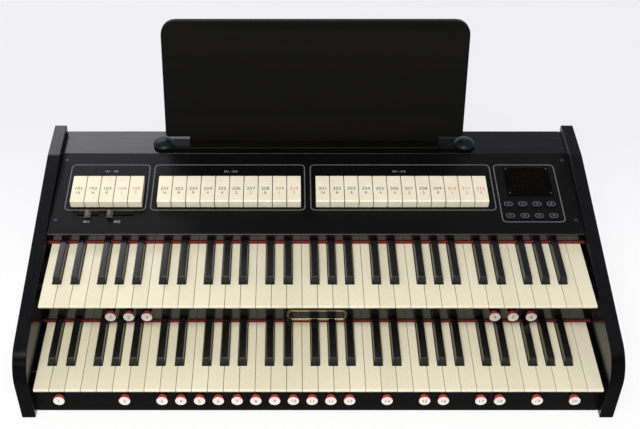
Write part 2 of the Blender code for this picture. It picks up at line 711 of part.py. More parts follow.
def build_key_frames():
    lower = MANUALS["lower"]
    upper = MANUALS["upper"]
    upper_low = lower["top"] + UPPER_FRAME_HEIGHT
    for name, outline in (
        ("lower_key_frame", frame_outline(lower, FLOOR, FRAME_FRONT)),
        ("upper_key_frame", frame_outline(upper, upper_low, upper["front"] + UPPER_FRAME_FRONT)),
    ):
        bm = bmesh.new()
        side_slab(bm, outline, (-INNER_HALF, INNER_HALF))
        add_part(name, bm, "zinc_steel", ORGAN)


def panel_rows(parts):
    """Distances up the panel's slope, from parts of its length."""
    return [part * PANEL_LENGTH for part in parts]


def panel_places(steps):
    """Places across the panel, from steps of the tabs' pitch."""
    return [step * TAB_PITCH for step in steps]


def build_contact_boards():
    """A contact board on the rib of each key frame, and the switch rail under the stop tabs."""
    for label, manual in MANUALS.items():
        middle = manual["front"] + KEY_PIVOT - RIB_FROM_PIVOT + FRAME_WALL / 2
        low = manual["top"] - RIB_DROP + FIT
        depth = (middle - BOARD_WIDTH / 2, middle + BOARD_WIDTH / 2)
        bm = bmesh.new()
        box(bm, (-MANUAL_WIDTH / 2, MANUAL_WIDTH / 2), depth, (low, low + BOARD_THICKNESS))
        add_part(f"{label}_contact_board", bm, "circuit_board", ORGAN)
    bm = bmesh.new()
    rows = panel_rows(STOP_RAIL_ROWS)
    box(bm, (-INNER_HALF, INNER_HALF), rows, (-STOP_RAIL_DEPTH - STOP_RAIL_THICKNESS, -STOP_RAIL_DEPTH))
    add_part("stop_rail", bm, "zinc_steel", PANEL)


# Pistons


def front_piston_places():
    return [(FRONT_PISTON_FIRST + step) * PISTON_PITCH for step in FRONT_PISTON_STEPS]


def middle_piston_places():
    return [(middle + step) * PISTON_PITCH for middle in MIDDLE_PISTON_GROUPS for step in (-1, 0, 1)]


def build_pistons():
    """Thumb pistons: a round face, a cone behind it and a shank through the rail to a common bar."""
    foot = -(PISTON_REACH + RAIL_THICKNESS + FIT + PISTON_BAR / 2)
    profile = ((0, 0), (PISTON_RADIUS, 0), (PISTON_RADIUS, -PISTON_EDGE), (PISTON_SHANK, -PISTON_CONE),
               (PISTON_SHANK, foot), (0, foot))
    piston = turned(profile, PISTON_SIDES)
    for name, places, rail, height in (
        ("front_pistons", front_piston_places(), FRONT_RAIL_SETBACK, FRONT_AXIS),
        ("middle_pistons", middle_piston_places(), LOWER_FACE, MIDDLE_AXIS),
    ):
        bar = bmesh.new()
        low = rail + RAIL_THICKNESS + FIT
        half = PISTON_BAR_HEIGHT / 2
        ends = (min(places) - PISTON_RADIUS, max(places) + PISTON_RADIUS)
        box(bar, ends, (low, low + PISTON_BAR), (height - half, height + half))
        pistons = add_part(name, bar, "piston_plastic", ORGAN, (0, rail, height))
        bm = bmesh.new()
        for x in places:
            add_mesh(bm, piston, pointing_forward(x, rail - PISTON_REACH, height))
        boolean(pistons, bm, "UNION", "pistons")


# Control panel, laid out in (x, distance up the slope, height above the sheet)


def button_places():
    return [(x, row) for row in panel_rows(BUTTON_ROWS) for x in panel_places(BUTTON_STEPS)]


def panel_openings():
    """Everything that is cut out of the panel sheet, each a clearance larger than what it takes."""
    bm = bmesh.new()
    through = (-2 * PANEL_THICKNESS, PANEL_THICKNESS)
    for step, groups in TAB_BANKS:
        left = step * TAB_PITCH
        right = left + sum(groups.values()) * TAB_PITCH
        bank = (left + TAB_GAP / 2 - TAB_CLEARANCE, right - TAB_GAP / 2 + TAB_CLEARANCE)
        box(bm, bank, (TAB_FRONT - TAB_CLEARANCE, TAB_BACK + TAB_CLEARANCE), through)
    rim = DISPLAY_RIM - FIT
    left, right = panel_places(DISPLAY_STEPS)
    front, back = panel_rows(DISPLAY_ROWS)
    box(bm, (left + rim, right - rim), (front + rim, back - rim), through)
    row = SLIDER_ROW * PANEL_LENGTH
    for slider in SLIDERS.values():
        box(bm, panel_places(slider["slot"]), (row - SLIDER_SLOT / 2, row + SLIDER_SLOT / 2), through)
    size = (BUTTON_SIZE[0] + 2 * FIT, BUTTON_SIZE[1] + 2 * FIT)
    for place in button_places():
        plan_slab(bm, rounded_box(place, size, BUTTON_CORNER), through)
    return bm


def build_control_panel():
    bm = bmesh.new()
    box(bm, (-INNER_HALF, INNER_HALF), (0, PANEL_LENGTH), (-PANEL_THICKNESS, 0))
    panel = add_part("control_panel", bm, "black_sheet", PANEL)
    boolean(panel, panel_openings(), "DIFFERENCE", "openings")


def build_stop_tabs():
    """Rocking tabs: blocks with a chamfered front edge, joined by a bar along their pivot line."""
    crest = TAB_FRONT + TAB_CREST_SETBACK
    outline = [(TAB_FRONT, -TAB_DEPTH), (TAB_BACK, -TAB_DEPTH), (TAB_BACK, TAB_REAR), (crest, TAB_CREST)]
    outline += [(TAB_FRONT, TAB_NOSE)]
    pivot = (0, TAB_BACK - TAB_PIVOT, -TAB_PIVOT_DEPTH)
    bar_low = -TAB_DEPTH + FIT
    bar_back = TAB_BACK - TAB_BAR_INSET
    bar_rows = (bar_back - TAB_BAR_WIDTH, bar_back)
    for step, groups in TAB_BANKS:
        left = step * TAB_PITCH
        for name, count in groups.items():
            bar = bmesh.new()
            right = left + count * TAB_PITCH
            box(bar, (left + TAB_GAP, right - TAB_GAP), bar_rows, (bar_low, bar_low + TAB_BAR_THICKNESS))
            tabs = add_part(name, bar, "tab_plastic", PANEL, pivot)
            bm = bmesh.new()
            for index in range(count):
                edge = left + index * TAB_PITCH
                side_slab(bm, outline, (edge + TAB_GAP / 2, edge + TAB_PITCH - TAB_GAP / 2))
            boolean(tabs, bm, "UNION", "tabs")
            left = right


def build_display():
    """The display: a rim that lies on the panel, a sunk window in it, and a body through the panel."""
    bm = bmesh.new()
    verts = box(bm, panel_places(DISPLAY_STEPS), panel_rows(DISPLAY_ROWS), (FIT, FIT + DISPLAY_LIP))
    bm.normal_update()
    faces = {face for vert in verts for face in vert.link_faces}
    top = [face for face in faces if face.normal.z > 0.5]
    bottom = [face for face in faces if face.normal.z < -0.5]
    bmesh.ops.inset_region(bm, faces=top, thickness=DISPLAY_RIM, use_even_offset=True)
    bmesh.ops.inset_region(bm, faces=top, thickness=DISPLAY_SINK, depth=-DISPLAY_SINK, use_even_offset=True)
    bmesh.ops.inset_region(bm, faces=bottom, thickness=DISPLAY_RIM, use_even_offset=True)
    body = bmesh.ops.extrude_discrete_faces(bm, faces=bottom)["faces"]
    moved = [vert for face in body for vert in face.verts]
    bmesh.ops.translate(bm, vec=(0, 0, -DISPLAY_DEPTH), verts=moved)
    add_part("display_window", bm, "smoked_window", PANEL)


def build_buttons():
    """Push buttons, joined by a plate that stops against the panel's underside."""
    places = button_places()
    columns = panel_places(BUTTON_STEPS)
    half_x = BUTTON_SIZE[0] / 2 + BUTTON_PLATE_RIM
    half_y = BUTTON_SIZE[1] / 2 + BUTTON_PLATE_RIM
    high = -PANEL_THICKNESS - FIT
    low = high - BUTTON_PLATE
    bm = bmesh.new()
    front, back = panel_rows(BUTTON_ROWS)
    rows = (front - half_y, back + half_y)
    box(bm, (min(columns) - half_x, max(columns) + half_x), rows, (low, high))
    plate = add_part("display_buttons", bm, "grey_plastic", PANEL)
    bm = bmesh.new()
    for place in places:
        cap = rounded_box(place, BUTTON_SIZE, BUTTON_CORNER - FIT)
        plan_slab(bm, cap, (low + BUTTON_PLATE / 2, BUTTON_RISE))
    boolean(plate, bm, "UNION", "buttons")


def build_sliders():
    """Slide controls: a ridged knob above the slot and a flat stem that runs in it."""
    row = SLIDER_ROW * PANEL_LENGTH
    for name, slider in SLIDERS.items():
        place = slider["knob"] * TAB_PITCH
        bm = bmesh.new()
        half = SLIDER_KNOB[0] / 2
        crest = SLIDER_KNOB_CREST / 2
        outline = [(place - half, SLIDER_LIFT), (place + half, SLIDER_LIFT)]
        outline += [(place + crest, SLIDER_KNOB_HEIGHT), (place - crest, SLIDER_KNOB_HEIGHT)]
        front_slab(bm, outline, (row - SLIDER_KNOB[1] / 2, row + SLIDER_KNOB[1] / 2))
        knob = add_part(name, bm, "black_plastic", PANEL)
        bm = bmesh.new()
        stem_x = (place - SLIDER_STEM[0] / 2, place + SLIDER_STEM[0] / 2)
        stem_y = (row - SLIDER_STEM[1] / 2, row + SLIDER_STEM[1] / 2)
        box(bm, stem_x, stem_y, (-SLIDER_STEM_DEPTH, SLIDER_KNOB_HEIGHT / 2))
        boolean(knob, bm, "UNION", "stem")


# Music desk


def build_desk_board():
    half = DESK_WIDTH / 2
    tongue = TONGUE_WIDTH / 2
    outline = rounded([
        (-tongue, 0, 0),
        (tongue, 0, 0),
        (tongue, TONGUE_LENGTH, 0),
        (half, TONGUE_LENGTH, DESK_LOW_CORNER),
        (half, DESK_LENGTH, DESK_CORNER),
        (-half, DESK_LENGTH, DESK_CORNER),
        (-half, TONGUE_LENGTH, DESK_LOW_CORNER),
        (-tongue, TONGUE_LENGTH, 0),
    ])
    bm = bmesh.new()
    front_slab(bm, outline, (0, DESK_THICKNESS))
    add_part("desk_board", bm, "black_lacquer", DESK)


def build_desk_ledge():
    back = DESK_FRONT - FIT
    front = back - LEDGE_DEPTH
    low = DECK_TOP + FIT
    outline = rounded([
        (front, low, 0),
        (back, low, 0),
        (back, low + LEDGE_HEIGHT, 0),
        (front, low + LEDGE_HEIGHT, LEDGE_EDGE),
    ], steps=3)
    bm = bmesh.new()
    side_slab(bm, outline, (-TONGUE_WIDTH / 2, TONGUE_WIDTH / 2))
    add_part("desk_ledge", bm, "black_lacquer", ORGAN)


def knob_holes(height):
    """The holes for the desk knobs' shafts, through whatever lies at a height."""
    radius = DESK_KNOB_SHAFT + BORE_CLEARANCE
    bm = bmesh.new()
    for x in (-DESK_KNOB_X, DESK_KNOB_X):
        place = (x, DESK_KNOB_Y, height)
        rod(bm, radius, -2 * DECK_THICKNESS, DECK_THICKNESS, place, UP, DESK_KNOB_SIDES)
    return bm


def build_desk_bracket():
    """An angle behind the board, with an ear under each knob and a leg that follows the board's lean."""
    low = DECK_TOP + FIT
    behind = DESK_THICKNESS + FIT
    back = DESK_FRONT + (behind + 2 * BRACKET_SHEET) / math.cos(DESK_LEAN)
    front = DESK_FRONT + (behind + FIT) / math.cos(DESK_LEAN)
    tongue = TONGUE_WIDTH / 2 + BRACKET_TONGUE_GAP
    outer = DESK_KNOB_X + BRACKET_EAR
    ear_front = DESK_KNOB_Y - BRACKET_EAR
    outline = rounded([
        (-outer, back, BRACKET_REAR_CORNER),
        (-outer, ear_front, BRACKET_EAR_CORNER),
        (-tongue, ear_front, 0),
        (-tongue, front, 0),
        (tongue, front, 0),
        (tongue, ear_front, 0),
        (outer, ear_front, BRACKET_EAR_CORNER),
        (outer, back, BRACKET_REAR_CORNER),
    ])
    bm = bmesh.new()
    plan_slab(bm, outline, (low, BRACKET_TOP))
    bracket = add_part("desk_bracket", bm, "black_plastic", ORGAN)
    bm = bmesh.new()
    box(bm, (-tongue, tongue), (behind, behind + BRACKET_SHEET), (BRACKET_SHEET / 2, BRACKET_HEIGHT))
    bmesh.ops.transform(bm, matrix=DESK.matrix_basis, verts=bm.verts)
    boolean(bracket, bm, "UNION", "leg")
    boolean(bracket, knob_holes(low), "DIFFERENCE", "knob_holes")


def build_desk_knobs():
    """Domed screw knobs that hold the desk down, each with its origin on its axis."""
    profile = [(DESK_KNOB_RADIUS * math.sin(angle), DESK_KNOB_HEIGHT * math.cos(angle))
               for angle in (math.radians(degrees) for degrees in DESK_KNOB_DOME)]
    foot = -(BRACKET_SHEET + FIT + DECK_THICKNESS)
    profile += [(DESK_KNOB_RADIUS, 0), (DESK_KNOB_SHAFT, 0), (DESK_KNOB_SHAFT, foot), (0, foot)]
    knob = turned(profile, DESK_KNOB_SIDES)
    for name, side in (("left_desk_knob", -1), ("right_desk_knob", 1)):
        place = (side * DESK_KNOB_X, DESK_KNOB_Y, BRACKET_TOP + FIT)
        bm = bmesh.new()
        add_mesh(bm, knob, Matrix.Translation(place))
        add_part(name, bm, "black_plastic", ORGAN, place, smooth=True)


# Rear connections and electronics


def ring(x, z, size):
    """The bounds of a rectangle in x and z about a centre."""
    return (x - size[0] / 2, x + size[0] / 2), (z - size[1] / 2, z + size[1] / 2)


def build_mains_inlet():
    """The inlet: a flange on the rear panel, a body through it, a recess and three pins."""
    outer = REAR_FACE + FIT + FLANGE_THICKNESS
    bm = bmesh.new()
    x, z = ring(INLET_X, INLET_HEIGHT, INLET_FLANGE)
    box(bm, x, (REAR_FACE + FIT, outer), z)
    inlet = add_part("mains_inlet", bm, "black_plastic", ORGAN)
    bm = bmesh.new()
    x, z = ring(INLET_X, INLET_HEIGHT, INLET_BODY)
    box(bm, x, (outer - INLET_BODY_DEPTH, outer - FLANGE_THICKNESS / 2), z)
    boolean(inlet, bm, "UNION", "body")
    bm = bmesh.new()
    x, z = ring(INLET_X, INLET_HEIGHT, INLET_RECESS)
    box(bm, x, (outer - INLET_RECESS_DEPTH, outer + FLANGE_THICKNESS), z)
    boolean(inlet, bm, "DIFFERENCE", "recess")
    bm = bmesh.new()
    floor = outer - INLET_RECESS_DEPTH
    for pin_x, pin_z in PIN_PLACES:
        x, z = ring(INLET_X + pin_x, INLET_HEIGHT + pin_z, PIN_SIZE)
        box(bm, x, (floor - FLANGE_THICKNESS, floor + PIN_LENGTH), z)
    boolean(inlet, bm, "UNION", "pins")


def build_power_switch():
    bm = bmesh.new()
    middle = REAR_FACE - REAR_THICKNESS / 2
    x, z = ring(SWITCH_X, INLET_HEIGHT, SWITCH_SIZE)
    box(bm, x, (middle - SWITCH_DEPTH / 2, middle + SWITCH_DEPTH / 2), z)
    add_part("power_switch", bm, "black_plastic", ORGAN, (SWITCH_X, middle, INLET_HEIGHT))


def build_socket_block():
    """The connector block: a flange on the rear panel, a body through it, and four round sockets."""
    outer = REAR_FACE + FIT + FLANGE_THICKNESS
    bm = bmesh.new()
    x, z = ring(SOCKET_BLOCK_X, SOCKET_HEIGHT, SOCKET_FLANGE)
    box(bm, x, (REAR_FACE + FIT, outer), z)
    block = add_part("socket_block", bm, "black_plastic", ORGAN)
    bm = bmesh.new()
    x, z = ring(SOCKET_BLOCK_X, SOCKET_HEIGHT, SOCKET_BODY)
    box(bm, x, (outer - SOCKET_BODY_DEPTH, outer - FLANGE_THICKNESS / 2), z)
    boolean(block, bm, "UNION", "body")
    bm = bmesh.new()
    for socket in (JACKS, ROUND_SOCKETS):
        for offset in socket["places"]:
            place = (SOCKET_BLOCK_X + offset, outer, SOCKET_HEIGHT)
            rod(bm, socket["radius"], -socket["depth"], FLANGE_THICKNESS, place, BACK, SOCKET_SIDES)
    boolean(block, bm, "DIFFERENCE", "sockets")


def build_electronics():
    """The main board with its spacers and larger components, and the power supply."""
    low = FLOOR + SPACER
    high = low + BOARD_THICKNESS
    bm = bmesh.new()
    box(bm, MAIN_BOARD_X, MAIN_BOARD_Y, (low, high))
    board = add_part("main_board", bm, "circuit_board", ORGAN)
    bm = bmesh.new()
    inset = SPACER / 2
    for x in (MAIN_BOARD_X[0] + inset, MAIN_BOARD_X[1] - SPACER - inset):
        for y in (MAIN_BOARD_Y[0] + inset, MAIN_BOARD_Y[1] - SPACER - inset):
            box(bm, (x, x + SPACER), (y, y + SPACER), (FLOOR, low + BOARD_THICKNESS / 2))
    for x, y, width, depth, height in CHIP_BLOCKS:
        box(bm, (x, x + width), (y, y + depth), (low + BOARD_THICKNESS / 2, high + height))
    boolean(board, bm, "UNION", "components")
    bm = bmesh.new()
    box(bm, POWER_SUPPLY_X, POWER_SUPPLY_Y, (FLOOR, FLOOR + POWER_SUPPLY_HEIGHT))
    add_part("power_supply", bm, "zinc_steel", ORGAN)


clear_scene()
PARTS = new_collection("electronic_organ")
CUTTERS = new_collection("cutters")
ORGAN = new_empty("organ", location=(0, -OVERALL_DEPTH / 2, 0))
PANEL = new_empty("panel_slope", ORGAN, (0, PANEL_FRONT, PANEL_TOP), PANEL_TILT)
DESK = new_empty("desk_lean", ORGAN, (0, DESK_FRONT, DECK_TOP + DESK_LIFT), -DESK_LEAN)
bpy.context.view_layer.update()

build_cheeks()
build_bottom()
build_rear_panel()
build_deck()
build_rails()
build_nameboard()
build_felts()
build_name_plate()
build_keys()
build_key_frames()
build_contact_boards()
build_pistons()
build_control_panel()
build_stop_tabs()
build_display()
build_buttons()
build_sliders()
build_desk_board()
build_desk_ledge()
build_desk_bracket()
build_desk_knobs()
build_mains_inlet()
build_power_switch()
build_socket_block()
build_electronics()
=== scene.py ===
import math

import bmesh
import bpy
from mathutils import Matrix, Vector


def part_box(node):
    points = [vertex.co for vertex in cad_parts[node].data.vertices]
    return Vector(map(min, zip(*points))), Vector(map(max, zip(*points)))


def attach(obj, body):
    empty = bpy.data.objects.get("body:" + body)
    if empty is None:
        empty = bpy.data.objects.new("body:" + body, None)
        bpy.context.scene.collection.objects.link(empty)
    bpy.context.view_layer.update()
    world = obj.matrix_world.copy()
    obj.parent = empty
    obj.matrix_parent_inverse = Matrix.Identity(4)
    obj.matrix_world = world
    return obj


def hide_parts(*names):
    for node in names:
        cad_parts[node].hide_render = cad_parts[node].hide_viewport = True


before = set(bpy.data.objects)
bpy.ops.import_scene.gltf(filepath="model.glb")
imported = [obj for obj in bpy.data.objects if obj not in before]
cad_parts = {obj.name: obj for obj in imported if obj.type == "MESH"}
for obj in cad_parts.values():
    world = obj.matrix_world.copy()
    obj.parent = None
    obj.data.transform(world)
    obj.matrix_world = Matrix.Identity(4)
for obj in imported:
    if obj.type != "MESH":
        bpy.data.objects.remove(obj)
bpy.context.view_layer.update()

scene = bpy.context.scene
mm = 0.001
manuals = ("lower", "upper")
spans = ("low", "middle", "high")
keyPitch = 23.5  # millimetres, also the unit in which the tabs' and buttons' places are given

# Camera and lamps

cameraSet = {"place": (-0.045, -1.3575, 1.381), "tilt": 48.8, "lens": 64.2, "shift": 0.05}
lens = bpy.data.cameras.new("camera")
lens.lens = cameraSet["lens"]
lens.shift_x = cameraSet["shift"]
lens.clip_start = 0.05
camera = bpy.data.objects.new("camera", lens)
camera.location = cameraSet["place"]
camera.rotation_euler = (math.radians(cameraSet["tilt"]), 0, 0)
scene.collection.objects.link(camera)
scene.camera = camera
scene.view_settings.view_transform = "Standard"

# the soft box stands behind on the left, where the deck's top mirrors it and the sloping panel doesn't
lampSet = {
    "softBox": {
        "place": (-1.3, 2.7, 2.1), "aim": (0, 0.1, 0.1), "size": (2.2, 1.0), "power": 30, "tint": (0.95, 0.94, 1)},
    "topPanel": {
        "place": (-0.2, -1.5, 2.9), "aim": (0, 0, 0), "size": (2.0, 0.9), "power": 68, "tint": (1, 0.99, 0.97)},
    "kneeLamp": {
        "place": (-0.7, -2.5, 1.75), "aim": (0, -0.1, 0.1), "size": (0.7, 0.4), "power": 20, "tint": (1, 1, 1)},
}
for lampName, values in lampSet.items():
    light = bpy.data.lights.new(lampName, "AREA")
    light.shape = "RECTANGLE"
    light.size, light.size_y = values["size"]
    light.energy = values["power"]
    light.color = values["tint"]
    lamp = bpy.data.objects.new(lampName, light)
    lamp.location = values["place"]
    aim = Vector(values["aim"]) - lamp.location
    lamp.rotation_euler = aim.to_track_quat("-Z", "Y").to_euler()
    lamp.visible_camera = False
    scene.collection.objects.link(lamp)

skySet = {"Color": (0.93, 0.95, 1.0, 1), "Strength": 0.34}
world = bpy.data.worlds.new("studioSky")
world.use_nodes = True
for socket, value in skySet.items():
    world.node_tree.nodes["Background"].inputs[socket].default_value = value
scene.world = world
print("camera and lamps ready")


# Finishes


def tone(red, green, blue):  # a screen colour, 0 to 255
    levels = [level / 255 for level in (red, green, blue)]
    return (*[level / 12.92 if level < 0.04 else ((level + 0.055) / 1.055) ** 2.4 for level in levels], 1)


def addNode(tree, kind, values=None, **settings):
    node = tree.nodes.new(kind)
    for key, value in settings.items():
        setattr(node, key, value)
    for socket, value in (values or {}).items():
        node.inputs[socket].default_value = value
    return node


def objectPlace(tree, stretch=(1, 1, 1)):
    place = addNode(tree, "ShaderNodeTexCoord")
    mapping = addNode(tree, "ShaderNodeMapping", {"Scale": stretch})
    tree.links.new(place.outputs["Object"], mapping.inputs["Vector"])
    return mapping.outputs["Vector"]


def noiseOver(tree, scale, stretch=(1, 1, 1), detail=3, rough=0.55):
    pattern = addNode(tree, "ShaderNodeTexNoise", {"Scale": scale, "Detail": detail, "Roughness": rough})
    tree.links.new(objectPlace(tree, stretch), pattern.inputs["Vector"])
    return pattern.outputs["Fac"]


def rampOver(tree, factor, stops):
    ramp = addNode(tree, "ShaderNodeValToRGB")
    while len(ramp.color_ramp.elements) < len(stops):
        ramp.color_ramp.elements.new(0.5)
    for element, (position, colour) in zip(ramp.color_ramp.elements, stops):
        element.position = position
        element.color = colour
    tree.links.new(factor, ramp.inputs["Fac"])
    return ramp.outputs["Color"]


def rangeOver(tree, factor, low, high):
    spread = addNode(tree, "ShaderNodeMapRange", {"From Min": 0.3, "From Max": 0.7, "To Min": low, "To Max": high})
    tree.links.new(factor, spread.inputs["Value"])
    return spread.outputs["Result"]


def mixTones(tree, factor, first, second, blend="MIX"):  # each input is a value or another node's output
    mix = addNode(tree, "ShaderNodeMix", data_type="RGBA", blend_type=blend)
    factorSocket, firstSocket, secondSocket, blended = 0, 6, 7, 2
    for socket, source in ((factorSocket, factor), (firstSocket, first), (secondSocket, second)):
        if isinstance(source, (tuple, float)):
            mix.inputs[socket].default_value = source
        else:
            tree.links.new(source, mix.inputs[socket])
    return mix.outputs[blended]


def reliefOver(tree, shader, height, strength, depth):
    bump = addNode(tree, "ShaderNodeBump", {"Strength": strength, "Distance": depth})
    tree.links.new(height, bump.inputs["Height"])
    tree.links.new(bump.outputs["Normal"], shader.inputs["Normal"])


def startFinish(name, sockets):
    material = bpy.data.materials.new(name)
    material.use_nodes = True
    shader = material.node_tree.nodes["Principled BSDF"]
    for socket, value in sockets.items():
        shader.inputs[socket].default_value = value
    return material, material.node_tree, shader


def mottledFinish(name, dark, pale, gloss, grain, relief, sockets):
    # colour follows the grain's noise (scale, stretch, detail), and roughness and relief a finer one
    material, tree, shader = startFinish(name, sockets)
    cloud = noiseOver(tree, *grain)
    tree.links.new(rampOver(tree, cloud, ((0.3, dark), (0.7, pale))), shader.inputs["Base Color"])
    scale, stretch, detail, strength, depth = relief
    fine = noiseOver(tree, scale, stretch, detail)
    tree.links.new(rangeOver(tree, fine, *gloss), shader.inputs["Roughness"])
    reliefOver(tree, shader, fine, strength, depth)
    return material


def lacquerFinish(name, stretch, shine):  # black lacquer that lets fine wood grain show
    return mottledFinish(
        name, (0.0016, 0.0016, 0.0020, 1), (0.0036, 0.0036, 0.0042, 1), (0.20, 0.28), (38, stretch, 6),
        (120, stretch, 4, 0.2, 0.05 * mm), {"Specular IOR Level": shine})


def dimFront(material, front, shine):  # painted shade: upright faces towards the player get less shine than the others, set by which way each face points rather than by the lamps
    upright, sloping = -0.6, -0.28  # how far a face's normal points to the player
    tree = material.node_tree
    facing = addNode(tree, "ShaderNodeSeparateXYZ")
    tree.links.new(addNode(tree, "ShaderNodeNewGeometry").outputs["Normal"], facing.inputs["Vector"])
    sheen = addNode(tree, "ShaderNodeMapRange", {
        "From Min": upright, "From Max": sloping, "To Min": front, "To Max": shine})
    tree.links.new(facing.outputs["Y"], sheen.inputs["Value"])
    tree.links.new(sheen.outputs["Result"], tree.nodes["Principled BSDF"].inputs["Specular IOR Level"])


def printFinish(name, dark, pale, gloss, scale):  # a thin even coat of printing ink
    return mottledFinish(
        name, tone(*dark), tone(*pale), gloss, (scale, evenly, 3), (1500, evenly, 2, 0.2, 0.02 * mm),
        {"Specular IOR Level": 0.3})


# how noise is stretched: fine along one axis, or the same every way
alongX = (0.12, 3, 3)
alongY = (3, 0.10, 3)
evenly = (1, 1, 1)
lacquerAcross = lacquerFinish("lacquerAcross", alongX, 0.30)
lacquerLengthwise = lacquerFinish("lacquerLengthwise", alongY, 0.2)
# painted shade: the cheeks' lacquer reflects less on its upright front faces
dimFront(lacquerLengthwise, 0.02, 0.2)
panelPaint = mottledFinish(
    "panelPaint", (0.0016, 0.0016, 0.0018, 1), (0.0028, 0.0028, 0.0030, 1), (0.34, 0.44), (14, evenly, 3),
    (1500, evenly, 2, 0.30, 0.05 * mm), {"Specular IOR Level": 0.12})
# painted highlight: a paler, shinier black for the rounding of the control panel's front lip
lipHighlightPaint = mottledFinish(
    "lipHighlightPaint", (0.010, 0.010, 0.009, 1), (0.020, 0.020, 0.018, 1), (0.26, 0.36), (30, alongX, 4),
    (900, evenly, 2, 0.2, 0.03 * mm), {"Specular IOR Level": 0.55})
boardPaint = mottledFinish(
    "boardPaint", (0.0014, 0.0013, 0.0012, 1), (0.0028, 0.0027, 0.0025, 1), (0.36, 0.50), (22, alongX, 4),
    (600, evenly, 3, 0.35, 0.08 * mm), {"Specular IOR Level": 0.04})
railLacquer = mottledFinish(
    "railLacquer", (0.0030, 0.0029, 0.0026, 1), (0.0056, 0.0054, 0.0048, 1), (0.12, 0.20), (22, alongX, 4),
    (200, alongX, 3, 0.15, 0.03 * mm), {"Specular IOR Level": 0.8})
deskPaint = mottledFinish(
    "deskPaint", (0.0014, 0.0014, 0.0011, 1), (0.0040, 0.0038, 0.0030, 1), (0.36, 0.50), (16, alongX, 6),
    (150, alongX, 4, 0.3, 0.1 * mm), {"Specular IOR Level": 0.07})
ebonyPlastic = mottledFinish(
    "ebonyPlastic", (0.0024, 0.0024, 0.0024, 1), (0.0052, 0.0051, 0.0048, 1), (0.18, 0.30), (60, alongY, 5),
    (420, alongY, 3, 0.25, 0.05 * mm), {"Specular IOR Level": 0.36})
tabPlastic = mottledFinish(
    "tabPlastic", tone(233, 224, 197), tone(241, 233, 210), (0.30, 0.42), (45, evenly, 3),
    (900, evenly, 2, 0.15, 0.03 * mm), {"Specular IOR Level": 0.25})
pistonPlastic = mottledFinish(
    "pistonPlastic", tone(226, 214, 204), tone(238, 230, 222), (0.22, 0.32), (120, evenly, 2),
    (900, evenly, 2, 0.12, 0.03 * mm), {"Specular IOR Level": 0.5, "Coat Weight": 0.25})
pistonRed = mottledFinish(
    "pistonRed", tone(222, 88, 90), tone(238, 116, 116), (0.20, 0.30), (160, evenly, 2),
    (900, evenly, 2, 0.12, 0.03 * mm), {"Specular IOR Level": 0.5, "Subsurface Weight": 0.1})
mouldedBlack = mottledFinish(
    "mouldedBlack", (0.0022, 0.0022, 0.0024, 1), (0.0046, 0.0046, 0.0048, 1), (0.32, 0.46), (50, evenly, 3),
    (1300, evenly, 3, 0.35, 0.06 * mm), {"Specular IOR Level": 0.05})
knobBlack = mottledFinish(
    "knobBlack", (0.0040, 0.0046, 0.0048, 1), (0.0080, 0.0092, 0.0094, 1), (0.26, 0.40), (70, evenly, 3),
    (900, evenly, 3, 0.4, 0.08 * mm), {"Specular IOR Level": 0.18})
buttonGrey = mottledFinish(
    "buttonGrey", (0.0060, 0.0060, 0.0068, 1), (0.0110, 0.0110, 0.0120, 1), (0.38, 0.52), (90, evenly, 3),
    (1500, evenly, 2, 0.3, 0.05 * mm), {"Specular IOR Level": 0.25})
sliderGrey = mottledFinish(
    "sliderGrey", tone(84, 83, 80), tone(112, 110, 106), (0.30, 0.42), (140, evenly, 3),
    (1200, evenly, 2, 0.3, 0.05 * mm), {"Specular IOR Level": 0.5})
footRubber = mottledFinish(
    "footRubber", (0.012, 0.012, 0.012, 1), (0.022, 0.021, 0.020, 1), (0.78, 0.92), (80, evenly, 4),
    (1100, evenly, 4, 0.5, 0.12 * mm), {"Specular IOR Level": 0.3})
printGrey = printFinish("printGrey", (84, 84, 86), (108, 108, 110), (0.45, 0.6), 420)
printPale = printFinish("printPale", (150, 150, 152), (186, 186, 188), (0.45, 0.6), 420)
printBlue = printFinish("printBlue", (22, 36, 46), (38, 52, 62), (0.4, 0.55), 600)
printDark = printFinish("printDark", (58, 58, 62), (84, 84, 88), (0.4, 0.55), 600)
printRed = printFinish("printRed", (196, 62, 70), (216, 96, 98), (0.4, 0.55), 600)
brassTrim = mottledFinish(
    "brassTrim", tone(176, 152, 108), tone(206, 186, 142), (0.22, 0.38), (60, alongX, 4),
    (500, alongX, 3, 0.3, 0.04 * mm), {"Metallic": 1.0})
screwSteel = mottledFinish(
    "screwSteel", tone(62, 62, 64), tone(92, 92, 94), (0.28, 0.44), (300, evenly, 3),
    (1100, evenly, 3, 0.3, 0.05 * mm), {"Metallic": 1.0})
blackScrew = mottledFinish(
    "blackScrew", (0.012, 0.012, 0.013, 1), (0.026, 0.026, 0.027, 1), (0.30, 0.45), (300, evenly, 3),
    (1100, evenly, 3, 0.3, 0.05 * mm), {"Specular IOR Level": 0.6})
contactNickel = mottledFinish(
    "contactNickel", tone(170, 168, 160), tone(204, 202, 196), (0.18, 0.32), (200, evenly, 3),
    (900, evenly, 3, 0.2, 0.03 * mm), {"Metallic": 1.0})


